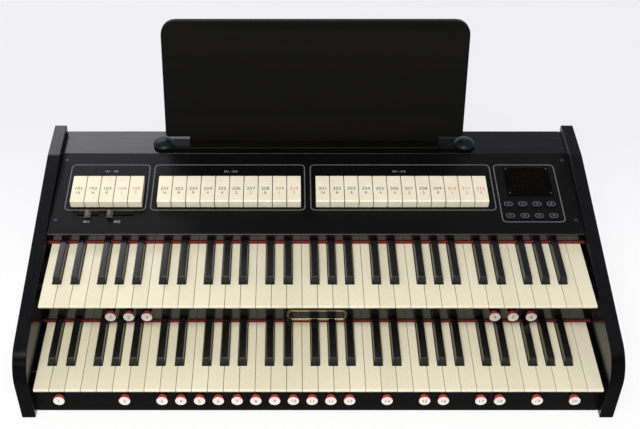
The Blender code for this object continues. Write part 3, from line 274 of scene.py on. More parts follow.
def ivoryFinish():  # each key has its own slight shade, and the tone drifts along the manual
    material, tree, shader = startFinish("ivoryPlastic", {"Specular IOR Level": 0.38})
    place = addNode(tree, "ShaderNodeTexCoord")
    parts = addNode(tree, "ShaderNodeSeparateXYZ")
    count = addNode(tree, "ShaderNodeMath", {1: keyPitch * mm}, operation="DIVIDE")
    whole = addNode(tree, "ShaderNodeMath", operation="FLOOR")
    perKey = addNode(tree, "ShaderNodeTexWhiteNoise", noise_dimensions="1D")
    tree.links.new(place.outputs["Object"], parts.inputs["Vector"])
    tree.links.new(parts.outputs["X"], count.inputs[0])
    tree.links.new(count.outputs["Value"], whole.inputs[0])
    tree.links.new(whole.outputs["Value"], perKey.inputs["W"])
    keyTone = rampOver(tree, perKey.outputs["Value"], ((0.0, tone(223, 216, 188)), (1.0, tone(230, 223, 197))))
    drift = rampOver(tree, noiseOver(tree, 7, evenly, 3), ((0.35, (0.94, 0.94, 0.92, 1)), (0.65, (1, 1, 1, 1))))
    colour = mixTones(tree, 1.0, keyTone, drift, "MULTIPLY")
    tree.links.new(colour, shader.inputs["Base Color"])
    fine = noiseOver(tree, 500, (1, 0.3, 1), 3)
    tree.links.new(rangeOver(tree, fine, 0.24, 0.36), shader.inputs["Roughness"])
    reliefOver(tree, shader, fine, 0.12, 0.03 * mm)
    return material


def feltFinish():  # short crossed fibres
    material, tree, shader = startFinish(
        "redFelt", {"Roughness": 0.95, "Sheen Weight": 0.35, "Specular IOR Level": 0.1})
    lengthwise = noiseOver(tree, 900, (0.2, 1, 1), 5, 0.7)
    across = noiseOver(tree, 1100, (1, 1, 0.25), 5, 0.7)
    fibres = addNode(tree, "ShaderNodeMath", operation="MULTIPLY")
    tree.links.new(lengthwise, fibres.inputs[0])
    tree.links.new(across, fibres.inputs[1])
    stops = ((0.15, tone(80, 10, 14)), (0.4, tone(134, 22, 28)))
    tree.links.new(rampOver(tree, fibres.outputs["Value"], stops), shader.inputs["Base Color"])
    reliefOver(tree, shader, fibres.outputs["Value"], 0.8, 0.4 * mm)
    return material


def zincFinish():  # zinc's crystal pattern
    material, tree, shader = startFinish("zincSheet", {"Metallic": 1.0})
    crystals = addNode(tree, "ShaderNodeTexVoronoi", {"Scale": 120})
    tree.links.new(objectPlace(tree), crystals.inputs["Vector"])
    grey = addNode(tree, "ShaderNodeRGBToBW")
    tree.links.new(crystals.outputs["Color"], grey.inputs["Color"])
    stops = ((0.0, tone(150, 152, 156)), (1.0, tone(188, 190, 194)))
    tree.links.new(rampOver(tree, grey.outputs["Val"], stops), shader.inputs["Base Color"])
    tree.links.new(rangeOver(tree, grey.outputs["Val"], 0.32, 0.48), shader.inputs["Roughness"])
    reliefOver(tree, shader, noiseOver(tree, 700), 0.2, 0.05 * mm)
    return material


def circuitFinish():  # green mask over copper tracks
    material, tree, shader = startFinish("circuitMask", {"Specular IOR Level": 0.5})
    tracks = addNode(tree, "ShaderNodeTexBrick", {
        "Color1": (0, 0, 0, 1), "Color2": (0, 0, 0, 1), "Mortar": (1, 1, 1, 1), "Scale": 1,
        "Brick Width": 9 * mm, "Row Height": 2.6 * mm, "Mortar Size": 0.35 * mm}, offset=0.37, offset_frequency=3)
    tree.links.new(objectPlace(tree), tracks.inputs["Vector"])
    mask = rampOver(tree, noiseOver(tree, 60), ((0.3, tone(12, 74, 34)), (0.7, tone(20, 92, 44))))
    tree.links.new(mixTones(tree, tracks.outputs["Fac"], mask, tone(58, 128, 62)), shader.inputs["Base Color"])
    tree.links.new(rangeOver(tree, noiseOver(tree, 300), 0.3, 0.45), shader.inputs["Roughness"])
    reliefOver(tree, shader, tracks.outputs["Fac"], 0.3, 0.05 * mm)
    return material


ivoryPlastic = ivoryFinish()
redFelt = feltFinish()
zincSheet = zincFinish()
circuitMask = circuitFinish()
plateField = mottledFinish(
    "plateField", (0.0045, 0.0045, 0.005, 1), (0.009, 0.009, 0.0095, 1), (0.16, 0.28), (90, evenly, 3),
    (1300, evenly, 2, 0.2, 0.03 * mm), {"Specular IOR Level": 0.5})
bezelBlack = mottledFinish(
    "bezelBlack", (0.0014, 0.0013, 0.0012, 1), (0.0034, 0.0032, 0.0030, 1), (0.30, 0.44), (50, evenly, 3),
    (1300, evenly, 3, 0.35, 0.05 * mm), {"Specular IOR Level": 0.012})
smokedWindow = mottledFinish(
    "smokedWindow", (0.0010, 0.0009, 0.0008, 1), (0.0020, 0.0018, 0.0016, 1), (0.08, 0.16), (70, evenly, 3),
    (300, evenly, 2, 0.05, 0.02 * mm), {"Specular IOR Level": 0.014})
displayCell = mottledFinish(
    "displayCell", (0.0014, 0.0009, 0.0008, 1), (0.0034, 0.0020, 0.0017, 1), (0.18, 0.3), (110, evenly, 3),
    (600, evenly, 2, 0.05, 0.02 * mm), {"Specular IOR Level": 0.042})
print("finishes ready")


# Piece making


def nodeMesh(node):  # a welded copy of a CAD node with its flat faces joined
    bm = bmesh.new()
    bm.from_mesh(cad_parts[node].data)
    bmesh.ops.remove_doubles(bm, verts=bm.verts, dist=0.01 * mm)
    bmesh.ops.dissolve_limit(bm, angle_limit=math.radians(0.4), verts=bm.verts, edges=bm.edges)
    bm.normal_update()
    return bm


def softenEdges(bm, width, steps, pick=None, sharper=40):
    edges = [edge for edge in bm.edges if edge.is_manifold and edge.is_convex
             and edge.calc_face_angle(0) > math.radians(sharper) and (pick is None or pick(edge))]
    bmesh.ops.bevel(bm, geom=edges, offset=width, offset_type="OFFSET", affect="EDGES", segments=steps,
                    profile=0.5, material=-1, clamp_overlap=True)
    bm.normal_update()


def makePiece(name, bm, body, materials, stands=(), crease=50):
    mesh = bpy.data.meshes.new(name)
    bm.to_mesh(mesh)
    bm.free()
    for material in materials:
        mesh.materials.append(material)
    mesh.shade_smooth()
    mesh.set_sharp_from_angle(angle=math.radians(crease))
    piece = bpy.data.objects.new(name, mesh)
    scene.collection.objects.link(piece)
    shading = piece.modifiers.new("evenShading", "WEIGHTED_NORMAL")
    shading.keep_sharp = True
    shading.weight = 60
    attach(piece, body)
    if stands:
        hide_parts(*stands)
    return piece


def dressNode(node, material):  # the node's own mesh, with a finish
    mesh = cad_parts[node].data
    mesh.materials.clear()
    mesh.materials.append(material)


def stamp(bm, shape, place):  # adds a placed copy of a small shape
    copy = shape.copy()
    copy.transform(place)
    mesh = bpy.data.meshes.new("stamp")
    copy.to_mesh(mesh)
    copy.free()
    bm.from_mesh(mesh)
    bpy.data.meshes.remove(mesh)


def turnedShape(profile, steps, finishes=None):  # spins (radius, height) points round Z
    bm = bmesh.new()
    verts = [bm.verts.new((radius, 0, height)) for radius, height in profile]
    edges = [bm.edges.new(pair) for pair in zip(verts, verts[1:])]
    bmesh.ops.spin(bm, geom=verts + edges, cent=(0, 0, 0), axis=(0, 0, 1), angle=math.tau, steps=steps,
                   use_merge=True)
    bmesh.ops.remove_doubles(bm, verts=bm.verts, dist=0.005 * mm)
    bmesh.ops.recalc_face_normals(bm, faces=bm.faces)
    if finishes:
        for face in bm.faces:
            face.material_index = finishes(face.calc_center_median())
    return bm


def roundedPatch(width, height, corner, steps=5):  # one flat face with round corners
    bm = bmesh.new()
    verts = bmesh.ops.create_grid(bm, x_segments=1, y_segments=1, size=0.5)["verts"]
    bmesh.ops.scale(bm, vec=(width, height, 1), verts=verts)
    bmesh.ops.bevel(bm, geom=verts, offset=corner, offset_type="OFFSET", affect="VERTICES", segments=steps,
                    profile=0.5, material=-1)
    bm.normal_update()
    return bm


def outlinePatch(width, height, corner, line):
    bm = roundedPatch(width, height, corner)
    inner = list(bm.faces)
    bmesh.ops.inset_region(bm, faces=inner, thickness=line, use_boundary=True, use_even_offset=True)
    bmesh.ops.delete(bm, geom=inner, context="FACES_ONLY")
    return bm


def screwHead(radius, height):  # a low head with a six-lobed recess
    bm = bmesh.new()
    bmesh.ops.create_circle(bm, cap_ends=True, segments=12, radius=radius)
    face = list(bm.faces)[0]
    top = bmesh.ops.extrude_face_region(bm, geom=[face])["geom"]
    bmesh.ops.translate(bm, vec=(0, 0, height), verts=[part for part in top if isinstance(part, bmesh.types.BMVert)])
    bm.normal_update()
    cap = max(bm.faces, key=lambda item: item.calc_center_median().z)
    bmesh.ops.inset_region(bm, faces=[cap], thickness=radius * 0.45, use_even_offset=True)
    for index, vert in enumerate(cap.verts):
        if index % 2:
            vert.co.x *= 0.68
            vert.co.y *= 0.68
    bmesh.ops.inset_region(bm, faces=[cap], thickness=radius * 0.04, depth=-height * 0.55)
    rim = [edge for edge in bm.edges if all(vert.co.z > height * 0.9 and vert.co.length > radius * 0.95
                                            for vert in edge.verts)]
    bmesh.ops.bevel(bm, geom=rim, offset=height * 0.4, offset_type="OFFSET", affect="EDGES", segments=2,
                    profile=0.5, material=-1)
    bmesh.ops.recalc_face_normals(bm, faces=bm.faces)
    return bm


def numberShape(words, height):  # flat figures, made a mesh before they are placed
    fontShare = 1.4  # the font's size over its figures' height
    curve = bpy.data.curves.new("figure", "FONT")
    curve.body = words
    curve.size = height * fontShare
    curve.align_x = "CENTER"
    curve.align_y = "CENTER"
    curve.resolution_u = 2
    holder = bpy.data.objects.new("figure", curve)
    mesh = bpy.data.meshes.new_from_object(holder)
    bpy.data.objects.remove(holder)
    bpy.data.curves.remove(curve)
    bm = bmesh.new()
    bm.from_mesh(mesh)
    bpy.data.meshes.remove(mesh)
    return bm


def stampNumber(bm, words, height, place):
    figure = numberShape(words, height)
    stamp(bm, figure, place)
    figure.free()


facingFront = Matrix.Rotation(math.pi / 2, 4, "X")  # turns +Z towards the player
facingBack = Matrix.Rotation(math.pi, 4, "Z") @ facingFront

# Case

caseSet = {"cheekEdge": 1.4 * mm, "deckEdge": 0.8 * mm, "longEdge": 20 * mm, "footEdge": 0.7 * mm}
for node in ("left_cheek", "right_cheek"):
    bm = nodeMesh(node)
    softenEdges(bm, caseSet["cheekEdge"], 3)
    makePiece(f"{node}_board", bm, "case", [lacquerLengthwise], [node], 35)
bm = nodeMesh("top_deck")
softenEdges(bm, caseSet["deckEdge"], 2, lambda edge: edge.calc_length() > caseSet["longEdge"])
makePiece("top_deck_board", bm, "case", [lacquerAcross], ["top_deck"])
for node in ("front_rail", "bottom_panel", "rear_panel"):
    dressNode(node, boardPaint)
for node in ("middle_rail", "nameboard"):
    dressNode(node, railLacquer)
for node in ("lower_felt", "upper_felt"):
    dressNode(node, redFelt)
for node in ("lower_key_frame", "upper_key_frame", "stop_rail", "power_supply"):
    dressNode(node, zincSheet)
for node in ("lower_contact_board", "upper_contact_board", "main_board"):
    dressNode(node, circuitMask)
for node in ("front_left_foot", "front_right_foot", "rear_left_foot", "rear_right_foot"):
    bm = nodeMesh(node)
    softenEdges(bm, caseSet["footEdge"], 2)
    makePiece(f"{node}_pad", bm, "case", [footRubber], [node])
print("case ready")

# Keys

keySet = {
    "nose": 2.1 * mm, "noseSteps": 4, "noseReach": 0.1 * mm, "edge": 0.5 * mm, "topReach": 2.4 * mm,
    "capEdge": 1.1 * mm, "capSteps": 3, "capReach": 0.5 * mm,
}
for manual in manuals:
    for span in spans:
        for comb in ("cegb", "dfa"):
            node = f"{manual}_{span}_{comb}"
            low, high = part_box(node)
            bm = nodeMesh(node)
            softenEdges(bm, keySet["nose"], keySet["noseSteps"], lambda edge: all(
                vert.co.y < low.y + keySet["noseReach"] and vert.co.z > high.z - keySet["noseReach"]
                for vert in edge.verts))
            softenEdges(bm, keySet["edge"], 2,
                        lambda edge: max(vert.co.z for vert in edge.verts) > high.z - keySet["topReach"])
            makePiece(f"{node}_keys", bm, node, [ivoryPlastic], [node])
        node = f"{manual}_{span}_sharps"
        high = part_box(node)[1]
        bm = nodeMesh(node)
        softenEdges(bm, keySet["capEdge"], keySet["capSteps"],
                    lambda edge: max(vert.co.z for vert in edge.verts) > high.z - keySet["capReach"], 25)
        makePiece(f"{node}_keys", bm, node, [ebonyPlastic], [node], 42)
print("keys ready")

# Thumb pistons

pistonSet = {
    "profile": ((0, -0.35), (4.6, -0.35), (6.0, 0), (7.7, 0), (8.35, -0.3), (8.6, -0.9), (8.6, -3.0), (8.2, -3.5),
                (6.2, -9.6), (6.0, -10), (6.0, -24)),
    "steps": 24, "pitch": 28.2 * mm, "digit": 6.4 * mm, "digitSink": 0.31 * mm,
    "faceEnd": -0.7 * mm, "coneEnd": -9.8 * mm, "bar": (4 * mm, 10 * mm), "barEdge": 0.8 * mm,
    "places": {  # in pitches from the middle
        "front_pistons": [-8.31 + step for step in (-5.5, -2, *range(11), 12, 14, 15, 17, 18, 20, 22)],
        "middle_pistons": [middle + step for middle in (-10.355, 10.78) for step in (-1, 0, 1)],
    },
}


def pistonPart(centre):  # pale face, red side and cone, black shank
    if centre.z > pistonSet["faceEnd"]:
        return 0
    return 1 if centre.z > pistonSet["coneEnd"] else 2


piston = turnedShape([(radius * mm, height * mm) for radius, height in pistonSet["profile"]], pistonSet["steps"],
                     pistonPart)
for node, steps in pistonSet["places"].items():
    low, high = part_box(node)
    height = (low.z + high.z) / 2
    bm = bmesh.new()
    bar = bmesh.ops.create_cube(bm, size=1)["verts"]
    bmesh.ops.scale(bm, vec=(high.x - low.x, *pistonSet["bar"]), verts=bar)
    bmesh.ops.translate(bm, vec=((low.x + high.x) / 2, high.y - pistonSet["bar"][0] / 2, height), verts=bar)
    bmesh.ops.bevel(bm, geom=list(bm.edges), offset=pistonSet["barEdge"], offset_type="OFFSET", affect="EDGES",
                    segments=2, profile=0.5, material=-1)
    figures = bmesh.new()
    for index, step in enumerate(steps):
        place = Matrix.Translation((step * pistonSet["pitch"], low.y, height)) @ facingFront
        stamp(bm, piston, place)
        sunk = place @ Matrix.Translation((0, 0, -pistonSet["digitSink"]))
        stampNumber(figures, str(index + 1), pistonSet["digit"], sunk)
    makePiece(f"{node}_turned", bm, node, [pistonPlastic, pistonRed, mouldedBlack], [node])
    makePiece(f"{node}_figures", figures, node, [printDark])
piston.free()
print("pistons ready")

# Name plate: a brass border round a bare black field

plateSet = {"rim": 0.4 * mm, "edge": 0.4 * mm}
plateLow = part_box("name_plate")[0]
bm = nodeMesh("name_plate")
for face in bm.faces:
    centre = face.calc_center_median()
    sunk = face.normal.y < -0.9 and centre.y > plateLow.y + plateSet["rim"]
    face.material_index = 1 if sunk else 0
softenEdges(bm, plateSet["edge"], 2)
makePiece("name_plate_frame", bm, "case", [brassTrim, plateField], ["name_plate"])

# Control panel

panelSet = {
    "thickness": 2.5 * mm, "lip": 3 * mm, "lipEdge": 1.05 * mm, "edge": 0.45 * mm, "longEdge": 150 * mm,
    "print": 0.03 * mm, "line": 1.8 * mm, "corner": 8 * mm,
    "fields": ((-409, -276, 53, 161), (-269.5, -16.5, 53, 161), (-8.5, 294.5, 53, 161), (300, 402.5, 26.5, 161)),
    "headings": ((-340.75, "101 - 105"), (-141, "201 - 210"), (141, "301 - 312")),
    "headingRow": 144, "headingSize": 4.2 * mm,
    "screws": [(x, row) for x in (-419, 419) for row in (31, 171)], "screw": (3.1 * mm, 0.9 * mm),
}
bm = nodeMesh("control_panel")
panelTop = max(bm.faces, key=lambda face: face.calc_area() * face.normal.z)
panelTilt = math.atan2(-panelTop.normal.y, panelTop.normal.z)
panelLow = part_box("control_panel")[0]
panelPlace = Matrix.Translation((0, panelLow.y, panelLow.z + panelSet["thickness"] * math.cos(panelTilt)))
panelPlace = panelPlace @ Matrix.Rotation(panelTilt, 4, "X")


def onPanel(x, row, lift=0.0):  # a place on the panel, in millimetres across and up its slope
    return panelPlace @ Matrix.Translation((x * mm, row * mm, lift))


panelFace = onPanel(0, 0).inverted()  # takes a point to its height over the panel, as z
lipEnd = panelLow.y + panelSet["lip"]
softenEdges(bm, panelSet["lipEdge"], 3, lambda edge: max(vert.co.y for vert in edge.verts) < lipEnd)
softenEdges(bm, panelSet["edge"], 2,
            lambda edge: edge.calc_length() > panelSet["longEdge"] and edge.verts[0].co.y > lipEnd)
for face in bm.faces:  # painted highlight: the lip's rounding gets a paler, shinier paint, so it shows as a light line
    face.material_index = 1 if face.normal.y < -0.3 and face.calc_center_median().y < lipEnd else 0
makePiece("control_panel_sheet", bm, "case", [panelPaint, lipHighlightPaint], ["control_panel"])
bm = bmesh.new()
for left, right, front, back in panelSet["fields"]:
    field = outlinePatch((right - left) * mm, (back - front) * mm, panelSet["corner"], panelSet["line"])
    stamp(bm, field, onPanel((left + right) / 2, (front + back) / 2, panelSet["print"]))
    field.free()
makePiece("panel_fields", bm, "case", [printGrey])
bm = bmesh.new()
for x, words in panelSet["headings"]:
    stampNumber(bm, words, panelSet["headingSize"], onPanel(x, panelSet["headingRow"], panelSet["print"]))
makePiece("panel_headings", bm, "case", [printPale])
bm = bmesh.new()
screw = screwHead(*panelSet["screw"])
for x, row in panelSet["screws"]:
    stamp(bm, screw, onPanel(x, row))
screw.free()
makePiece("panel_screws", bm, "case", [blackScrew])
print("panel ready")

# Stop tabs

tabSet = {
    "edge": 0.8 * mm, "barTop": 2.6 * mm, "crest": (63.3, 13), "rear": (120, 13.4),
    "number": 6.8 * mm, "numberRow": 27 * mm, "foot": 5.6 * mm, "footRow": 17.5 * mm,
    "banks": {  # left side, first number, figures under the numbers, how many tabs are marked in red
        "pedal_tabs": (-399.5, 101, (16, 16, 8), 2),
        "manual_1_stop_tabs": (-258.5, 201, (16, 8, 8, 4, 4, 2, 2, 8), 0),
        "manual_1_coupler_tabs": (-70.5, 209, (), 2),
        "manual_2_stop_tabs": (0, 301, (16, 8, 8, 8, 4, 4, 2, 2, 8), 0),
        "manual_2_coupler_tabs": (211.5, 310, (), 3),
    },
}
crestRow, crestRise = tabSet["crest"]
rearRow, rearRise = tabSet["rear"]
tabSlope = math.atan2(rearRise - crestRise, rearRow - crestRow)
for node, (left, first, feet, reds) in tabSet["banks"].items():
    bm = nodeMesh(node)
    softenEdges(bm, tabSet["edge"], 2,
                lambda edge: max((panelFace @ vert.co).z for vert in edge.verts) > tabSet["barTop"], 20)
    makePiece(f"{node}_row", bm, node, [tabPlastic], [node], 42)
    marks = {"black": bmesh.new(), "red": bmesh.new()}
    for index in range(len(feet) + reds):
        place = onPanel(left + (index + 0.5) * keyPitch, crestRow, crestRise * mm)
        place = place @ Matrix.Rotation(tabSlope, 4, "X")
        colour = "black" if index < len(feet) else "red"
        lower = feet[index] if colour == "black" else index - len(feet) + 1
        for words, size, row in ((first + index, "number", "numberRow"), (lower, "foot", "footRow")):
            stampNumber(marks[colour], str(words), tabSet[size],
                        place @ Matrix.Translation((0, tabSet[row], panelSet["print"])))
    for colour, name, ink in (("black", "numbers", printBlue), ("red", "red_numbers", printRed)):
        if marks[colour].faces:
            makePiece(f"{node}_{name}", marks[colour], node, [ink])
        else:
            marks[colour].free()
print("stop tabs ready")

# Display, its buttons and the slide controls

displaySet = {
    "x": (316.78, 391.51), "rows": (87.5, 152.04), "rim": 7, "sink": 0.7, "lip": 1.8, "edge": 0.5 * mm,
    "cells": (8, 5), "cellMargin": 2, "cellGap": 0.55 * mm, "cellRise": 0.04,
    "screw": (1.9 * mm, 0.6 * mm), "inset": 3.6,
}
bm = nodeMesh("display_window")
for face in bm.faces:
    centre = panelFace @ face.calc_center_median()
    flat = (panelFace.to_3x3() @ face.normal).z > 0.9
    face.material_index = 1 if flat and centre.z < (displaySet["lip"] - displaySet["sink"] / 2) * mm else 0
softenEdges(bm, displaySet["edge"], 2)
makePiece("display_bezel", bm, "case", [bezelBlack, smokedWindow], ["display_window"])
bm = bmesh.new()
cells = bmesh.ops.create_grid(bm, x_segments=displaySet["cells"][0], y_segments=displaySet["cells"][1], size=0.5)
border = 2 * (displaySet["rim"] + displaySet["cellMargin"])
width = displaySet["x"][1] - displaySet["x"][0] - border
height = displaySet["rows"][1] - displaySet["rows"][0] - border
bmesh.ops.scale(bm, vec=(width * mm, height * mm, 1), verts=cells["verts"])
squares = list(bm.faces)
bmesh.ops.inset_individual(bm, faces=squares, thickness=displaySet["cellGap"])
bmesh.ops.delete(bm, geom=[face for face in bm.faces if face not in squares], context="FACES_ONLY")
middle = (sum(displaySet["x"]) / 2, sum(displaySet["rows"]) / 2)
bm.transform(onPanel(*middle, (displaySet["lip"] - displaySet["sink"] + displaySet["cellRise"]) * mm))
makePiece("display_cells", bm, "case", [displayCell])
bm = bmesh.new()
screw = screwHead(*displaySet["screw"])
for x, inwards in zip(displaySet["x"], (displaySet["inset"], -displaySet["inset"])):
    for row, upwards in zip(displaySet["rows"], (displaySet["inset"], -displaySet["inset"])):
        stamp(bm, screw, onPanel(x + inwards, row + upwards, displaySet["lip"] * mm))
screw.free()
makePiece("display_screws", bm, "case", [blackScrew])

buttonSet = {
    "columns": [step * keyPitch for step in (13.37, 14.36, 15.35, 16.34)], "rows": (39.6, 66.2), "rise": 2.2 * mm,
    "edge": 0.7 * mm, "plateTop": 1.9 * mm, "ring": (14.0 * mm, 9.4 * mm, 4.4 * mm, 0.9 * mm), "figure": 3.0 * mm,
}
bm = nodeMesh("display_buttons")
softenEdges(bm, buttonSet["edge"], 3,
            lambda edge: min((panelFace @ vert.co).z for vert in edge.verts) > buttonSet["plateTop"])
makePiece("display_button_caps", bm, "display_buttons", [buttonGrey], ["display_buttons"])
rings = bmesh.new()
figures = bmesh.new()
ring = outlinePatch(*buttonSet["ring"])
tops = [onPanel(x, row, buttonSet["rise"] + panelSet["print"]) for row in buttonSet["rows"]
        for x in buttonSet["columns"]]
for number, top in enumerate(tops, 1):
    stamp(rings, ring, top)
    stampNumber(figures, str(number), buttonSet["figure"], top)
ring.free()
makePiece("display_button_rings", rings, "display_buttons", [printGrey])
makePiece("display_button_figures", figures, "display_buttons", [printPale])

sliderSet = {
    "row": 42.1, "edge": 0.7 * mm, "stem": 0.3 * mm,
    "line": (1.0 * mm, 9.6 * mm, 0.4 * mm, 2), "lineRise": 8.03 * mm,
    "scaleRow": 51.6, "scaleEnd": 3.5, "ticks": 10, "tick": (0.5 * mm, 0.15 * mm),
    "tickLengths": (4.0 * mm, 2.6 * mm), "figureRow": 27.6, "figureSize": 5.4 * mm,
    "sliders": {  # slot's ends, cap's place, figure and its place
        "left_slider": (-385.6, -351.3, -369.3, "401", -369),
        "right_slider": (-341.5, -295.4, -333.5, "402", -320),
    },
}
scale = bmesh.new()
figures = bmesh.new()
for node, (start, end, cap, words, wordsPlace) in sliderSet["sliders"].items():
    bm = nodeMesh(node)
    softenEdges(bm, sliderSet["edge"], 2,
                lambda edge: (panelFace @ ((edge.verts[0].co + edge.verts[1].co) / 2)).z > sliderSet["stem"])
    makePiece(f"{node}_knob", bm, node, [sliderGrey], [node])
    bm = roundedPatch(*sliderSet["line"])
    bm.transform(onPanel(cap, sliderSet["row"], sliderSet["lineRise"]))
    makePiece(f"{node}_line", bm, node, [printDark])
    first = start + sliderSet["scaleEnd"]
    length = end - start - 2 * sliderSet["scaleEnd"]
    width, corner = sliderSet["tick"]
    for tick in range(sliderSet["ticks"] + 1):  # every fifth stroke is longer
        stroke = roundedPatch(width, sliderSet["tickLengths"][1 if tick % 5 else 0], corner, 1)
        stamp(scale, stroke, onPanel(first + length * tick / sliderSet["ticks"], sliderSet["scaleRow"],
                                     panelSet["print"]))
        stroke.free()
    stampNumber(figures, words, sliderSet["figureSize"],
                onPanel(wordsPlace, sliderSet["figureRow"], panelSet["print"]))
makePiece("slider_scales", scale, "case", [printGrey])
makePiece("slider_figures", figures, "case", [printPale])
print("display and sliders ready")

# Music desk

deskSet = {"boardEdge": 1.5 * mm, "ledgeEdge": 0.8 * mm, "bracketEdge": 0.5 * mm, "bracketLeast": 2 * mm}
bm = nodeMesh("desk_board")
softenEdges(bm, deskSet["boardEdge"], 3)
makePiece("desk_board_panel", bm, "music_desk", [deskPaint], ["desk_board"], 40)
bm = nodeMesh("desk_ledge")
softenEdges(bm, deskSet["ledgeEdge"], 2)
makePiece("desk_ledge_bar", bm, "music_desk", [deskPaint], ["desk_ledge"])
bm = nodeMesh("desk_bracket")
softenEdges(bm, deskSet["bracketEdge"], 2, lambda edge: edge.calc_length() > deskSet["bracketLeast"])
makePiece("desk_bracket_sheet", bm, "music_desk", [mouldedBlack], ["desk_bracket"])
knobSet = {
    "radius": 18 * mm, "height": 8.5 * mm, "angles": (0, 9, 18, 27, 36, 45, 54, 62, 69, 75, 80, 84),
    "rim": 0.6 * mm, "chamfer": 0.4 * mm, "shaft": 3 * mm, "steps": 40,
}
for node in ("left_desk_knob", "right_desk_knob"):
    low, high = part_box(node)
    seat = high.z - knobSet["height"]
    radius, shaft = knobSet["radius"], knobSet["shaft"]
    dome = [(radius * math.sin(math.radians(angle)), knobSet["height"] * math.cos(math.radians(angle)))
            for angle in knobSet["angles"]]
    foot = [(radius, knobSet["rim"]), (radius - knobSet["chamfer"], 0), (shaft, 0), (shaft, low.z - seat),
            (0, low.z - seat)]
    bm = turnedShape(dome + foot, knobSet["steps"])
    bm.transform(Matrix.Translation(((low.x + high.x) / 2, (low.y + high.y) / 2, seat)))
    makePiece(f"{node}_dome", bm, node, [knobBlack], [node], 40)
print("music desk ready")

# Rear connections

rearSet = {
    "screwX": (-425, -180, 0, 180, 425), "screwZ": (24, 158), "screw": (3.0 * mm, 1.1 * mm), "blockInset": 5 * mm,
    "jacks": (-58, -24), "jackRims": (3.4, 6.2), "rounds": (18, 56), "roundRims": (6.8, 9.4), "collarSteps": 28,
    "blockEdge": 0.5 * mm, "blockLeast": 15 * mm, "inletEdge": 0.4 * mm, "inletLeast": 1 * mm,
    "switchEdge": 0.8 * mm, "figure": 3.6 * mm, "figureInset": 4.5 * mm,
}
# the inlet's three contacts: the outer two stand a little over the middle one
pinSet = {
    "x": 0.33, "spread": 7 * mm, "outerZ": 0.0636, "middleZ": 0.0604, "halfWidth": 1.3 * mm, "halfHeight": 2.4 * mm,
    "mouth": 2 * mm, "floor": 14.8 * mm,
}


def onPin(x, z, centre):
    return abs(x) < pinSet["halfWidth"] and abs(centre.z - z) < pinSet["halfHeight"]


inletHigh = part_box("mains_inlet")[1]
bm = nodeMesh("mains_inlet")
for face in bm.faces:
    centre = face.calc_center_median()
    across = centre.x - pinSet["x"]
    outer = onPin(abs(across) - pinSet["spread"], pinSet["outerZ"], centre)
    inside = inletHigh.y - pinSet["floor"] < centre.y < inletHigh.y - pinSet["mouth"]
    face.material_index = 1 if inside and (outer or onPin(across, pinSet["middleZ"], centre)) else 0
softenEdges(bm, rearSet["inletEdge"], 2, lambda edge: edge.calc_length() > rearSet["inletLeast"])
makePiece("mains_inlet_body", bm, "case", [mouldedBlack, contactNickel], ["mains_inlet"])
bm = nodeMesh("socket_block")
softenEdges(bm, rearSet["blockEdge"], 2, lambda edge: edge.calc_length() > rearSet["blockLeast"])
makePiece("socket_block_body", bm, "case", [mouldedBlack], ["socket_block"])
blockLow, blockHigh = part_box("socket_block")
blockX = (blockLow.x + blockHigh.x) / 2
blockZ = (blockLow.z + blockHigh.z) / 2
collars = bmesh.new()
for sockets, rims in (("jacks", "jackRims"), ("rounds", "roundRims")):
    bore, rim = rearSet[rims]
    profile = [(bore, -6), (bore, 0.7), (bore + 0.5, 1.2), (rim - 0.6, 1.2), (rim, 0.6), (rim, 0)]
    collar = turnedShape([(radius * mm, rise * mm) for radius, rise in profile], rearSet["collarSteps"])
    for offset in rearSet[sockets]:
        place = Matrix.Translation((blockX + offset * mm, blockHigh.y, blockZ)) @ facingBack
        stamp(collars, collar, place)
    collar.free()
makePiece("socket_collars", collars, "case", [contactNickel])
bm = bmesh.new()
screw = screwHead(*rearSet["screw"])
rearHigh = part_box("rear_panel")[1]
for x in rearSet["screwX"]:
    for z in rearSet["screwZ"]:
        stamp(bm, screw, Matrix.Translation((x * mm, rearHigh.y, z * mm)) @ facingBack)
for x in (blockLow.x + rearSet["blockInset"], blockHigh.x - rearSet["blockInset"]):
    stamp(bm, screw, Matrix.Translation((x, blockHigh.y, blockZ)) @ facingBack)
screw.free()
makePiece("rear_screws", bm, "case", [screwSteel])
bm = nodeMesh("power_switch")
softenEdges(bm, rearSet["switchEdge"], 2)
makePiece("power_switch_rocker", bm, "power_switch", [mouldedBlack], ["power_switch"])
switchLow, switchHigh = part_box("power_switch")
bm = bmesh.new()
middle = (switchLow.x + switchHigh.x) / 2
for words, z in (("1", switchHigh.z - rearSet["figureInset"]), ("0", switchLow.z + rearSet["figureInset"])):
    place = Matrix.Translation((middle, switchHigh.y + panelSet["print"], z)) @ facingBack
    stampNumber(bm, words, rearSet["figure"], place)
makePiece("power_switch_figures", bm, "power_switch", [printPale])
print("rear ready")

# Floor: a wide pale dish, so every view has the same plain ground behind it

floorSet = {
    "flats": (0.0, 1.2, 2.6, 4.2), "bend": 1.4, "bendSteps": 8, "wall": 3.0, "steps": 64, "selfLit": 0.86,
    "fade": {"From Min": 0.05, "From Max": 0.5}, "front": (0.99, 0.99, 0.99, 1), "back": (0.885, 0.88, 0.92, 1),
}
bm = bmesh.new()
points = [(radius, 0.0) for radius in floorSet["flats"]]
flat, bend = floorSet["flats"][-1], floorSet["bend"]
for step in range(1, floorSet["bendSteps"] + 1):
    angle = math.pi / 2 * step / floorSet["bendSteps"]
    points.append((flat + bend * math.sin(angle), bend * (1 - math.cos(angle))))
points.append((flat + bend, floorSet["wall"]))
verts = [bm.verts.new((radius, 0, height)) for radius, height in points]
edges = [bm.edges.new(pair) for pair in zip(verts, verts[1:])]
bmesh.ops.spin(bm, geom=verts + edges, cent=(0, 0, 0), axis=(0, 0, 1), angle=math.tau, steps=floorSet["steps"],
               use_merge=True)
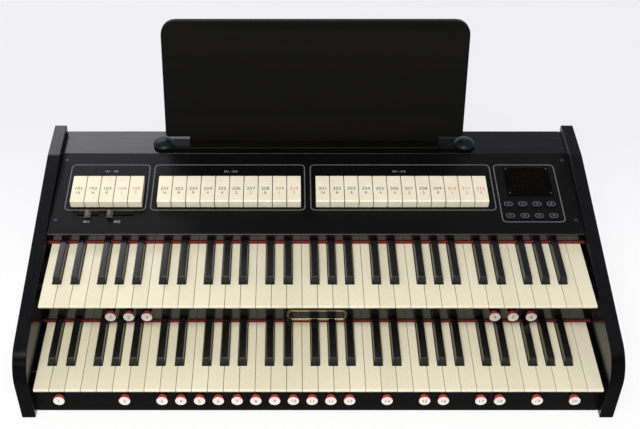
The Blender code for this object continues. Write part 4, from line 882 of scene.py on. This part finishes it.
bmesh.ops.remove_doubles(bm, verts=bm.verts, dist=0.1 * mm)
mesh = bpy.data.meshes.new("studioFloor")
bm.to_mesh(mesh)
bm.free()
mesh.shade_smooth()
floor = bpy.data.objects.new("studio_floor", mesh)
scene.collection.objects.link(floor)
floorPaint, tree, shader = startFinish("floorPaint", {"Roughness": 0.85, "Specular IOR Level": 0.1})
place = addNode(tree, "ShaderNodeTexCoord")
parts = addNode(tree, "ShaderNodeSeparateXYZ")
depth = addNode(tree, "ShaderNodeMapRange", floorSet["fade"])
tree.links.new(place.outputs["Object"], parts.inputs["Vector"])
tree.links.new(parts.outputs["Y"], depth.inputs["Value"])
paper = rampOver(tree, depth.outputs["Result"], ((0.0, floorSet["front"]), (1.0, floorSet["back"])))
tree.links.new(paper, shader.inputs["Base Color"])
plainWhite = addNode(tree, "ShaderNodeEmission", {"Strength": 1.0})
tree.links.new(paper, plainWhite.inputs["Color"])
# the camera, mirrors and glass see a floor that is mostly white by itself, and the rest keeps the shadow
rays = addNode(tree, "ShaderNodeLightPath")
seen = addNode(tree, "ShaderNodeMath", operation="ADD", use_clamp=True)
seenThrough = addNode(tree, "ShaderNodeMath", operation="ADD", use_clamp=True)
share = addNode(tree, "ShaderNodeMath", {1: floorSet["selfLit"]}, operation="MULTIPLY")
tree.links.new(rays.outputs["Is Camera Ray"], seen.inputs[0])
tree.links.new(rays.outputs["Is Glossy Ray"], seen.inputs[1])
tree.links.new(seen.outputs["Value"], seenThrough.inputs[0])
tree.links.new(rays.outputs["Is Transmission Ray"], seenThrough.inputs[1])
tree.links.new(seenThrough.outputs["Value"], share.inputs[0])
mixed = addNode(tree, "ShaderNodeMixShader")
tree.links.new(share.outputs["Value"], mixed.inputs["Fac"])
tree.links.new(shader.outputs["BSDF"], mixed.inputs[1])
tree.links.new(plainWhite.outputs["Emission"], mixed.inputs[2])
tree.links.new(mixed.outputs["Shader"], tree.nodes["Material Output"].inputs["Surface"])
mesh.materials.append(floorPaint)
print("floor ready")
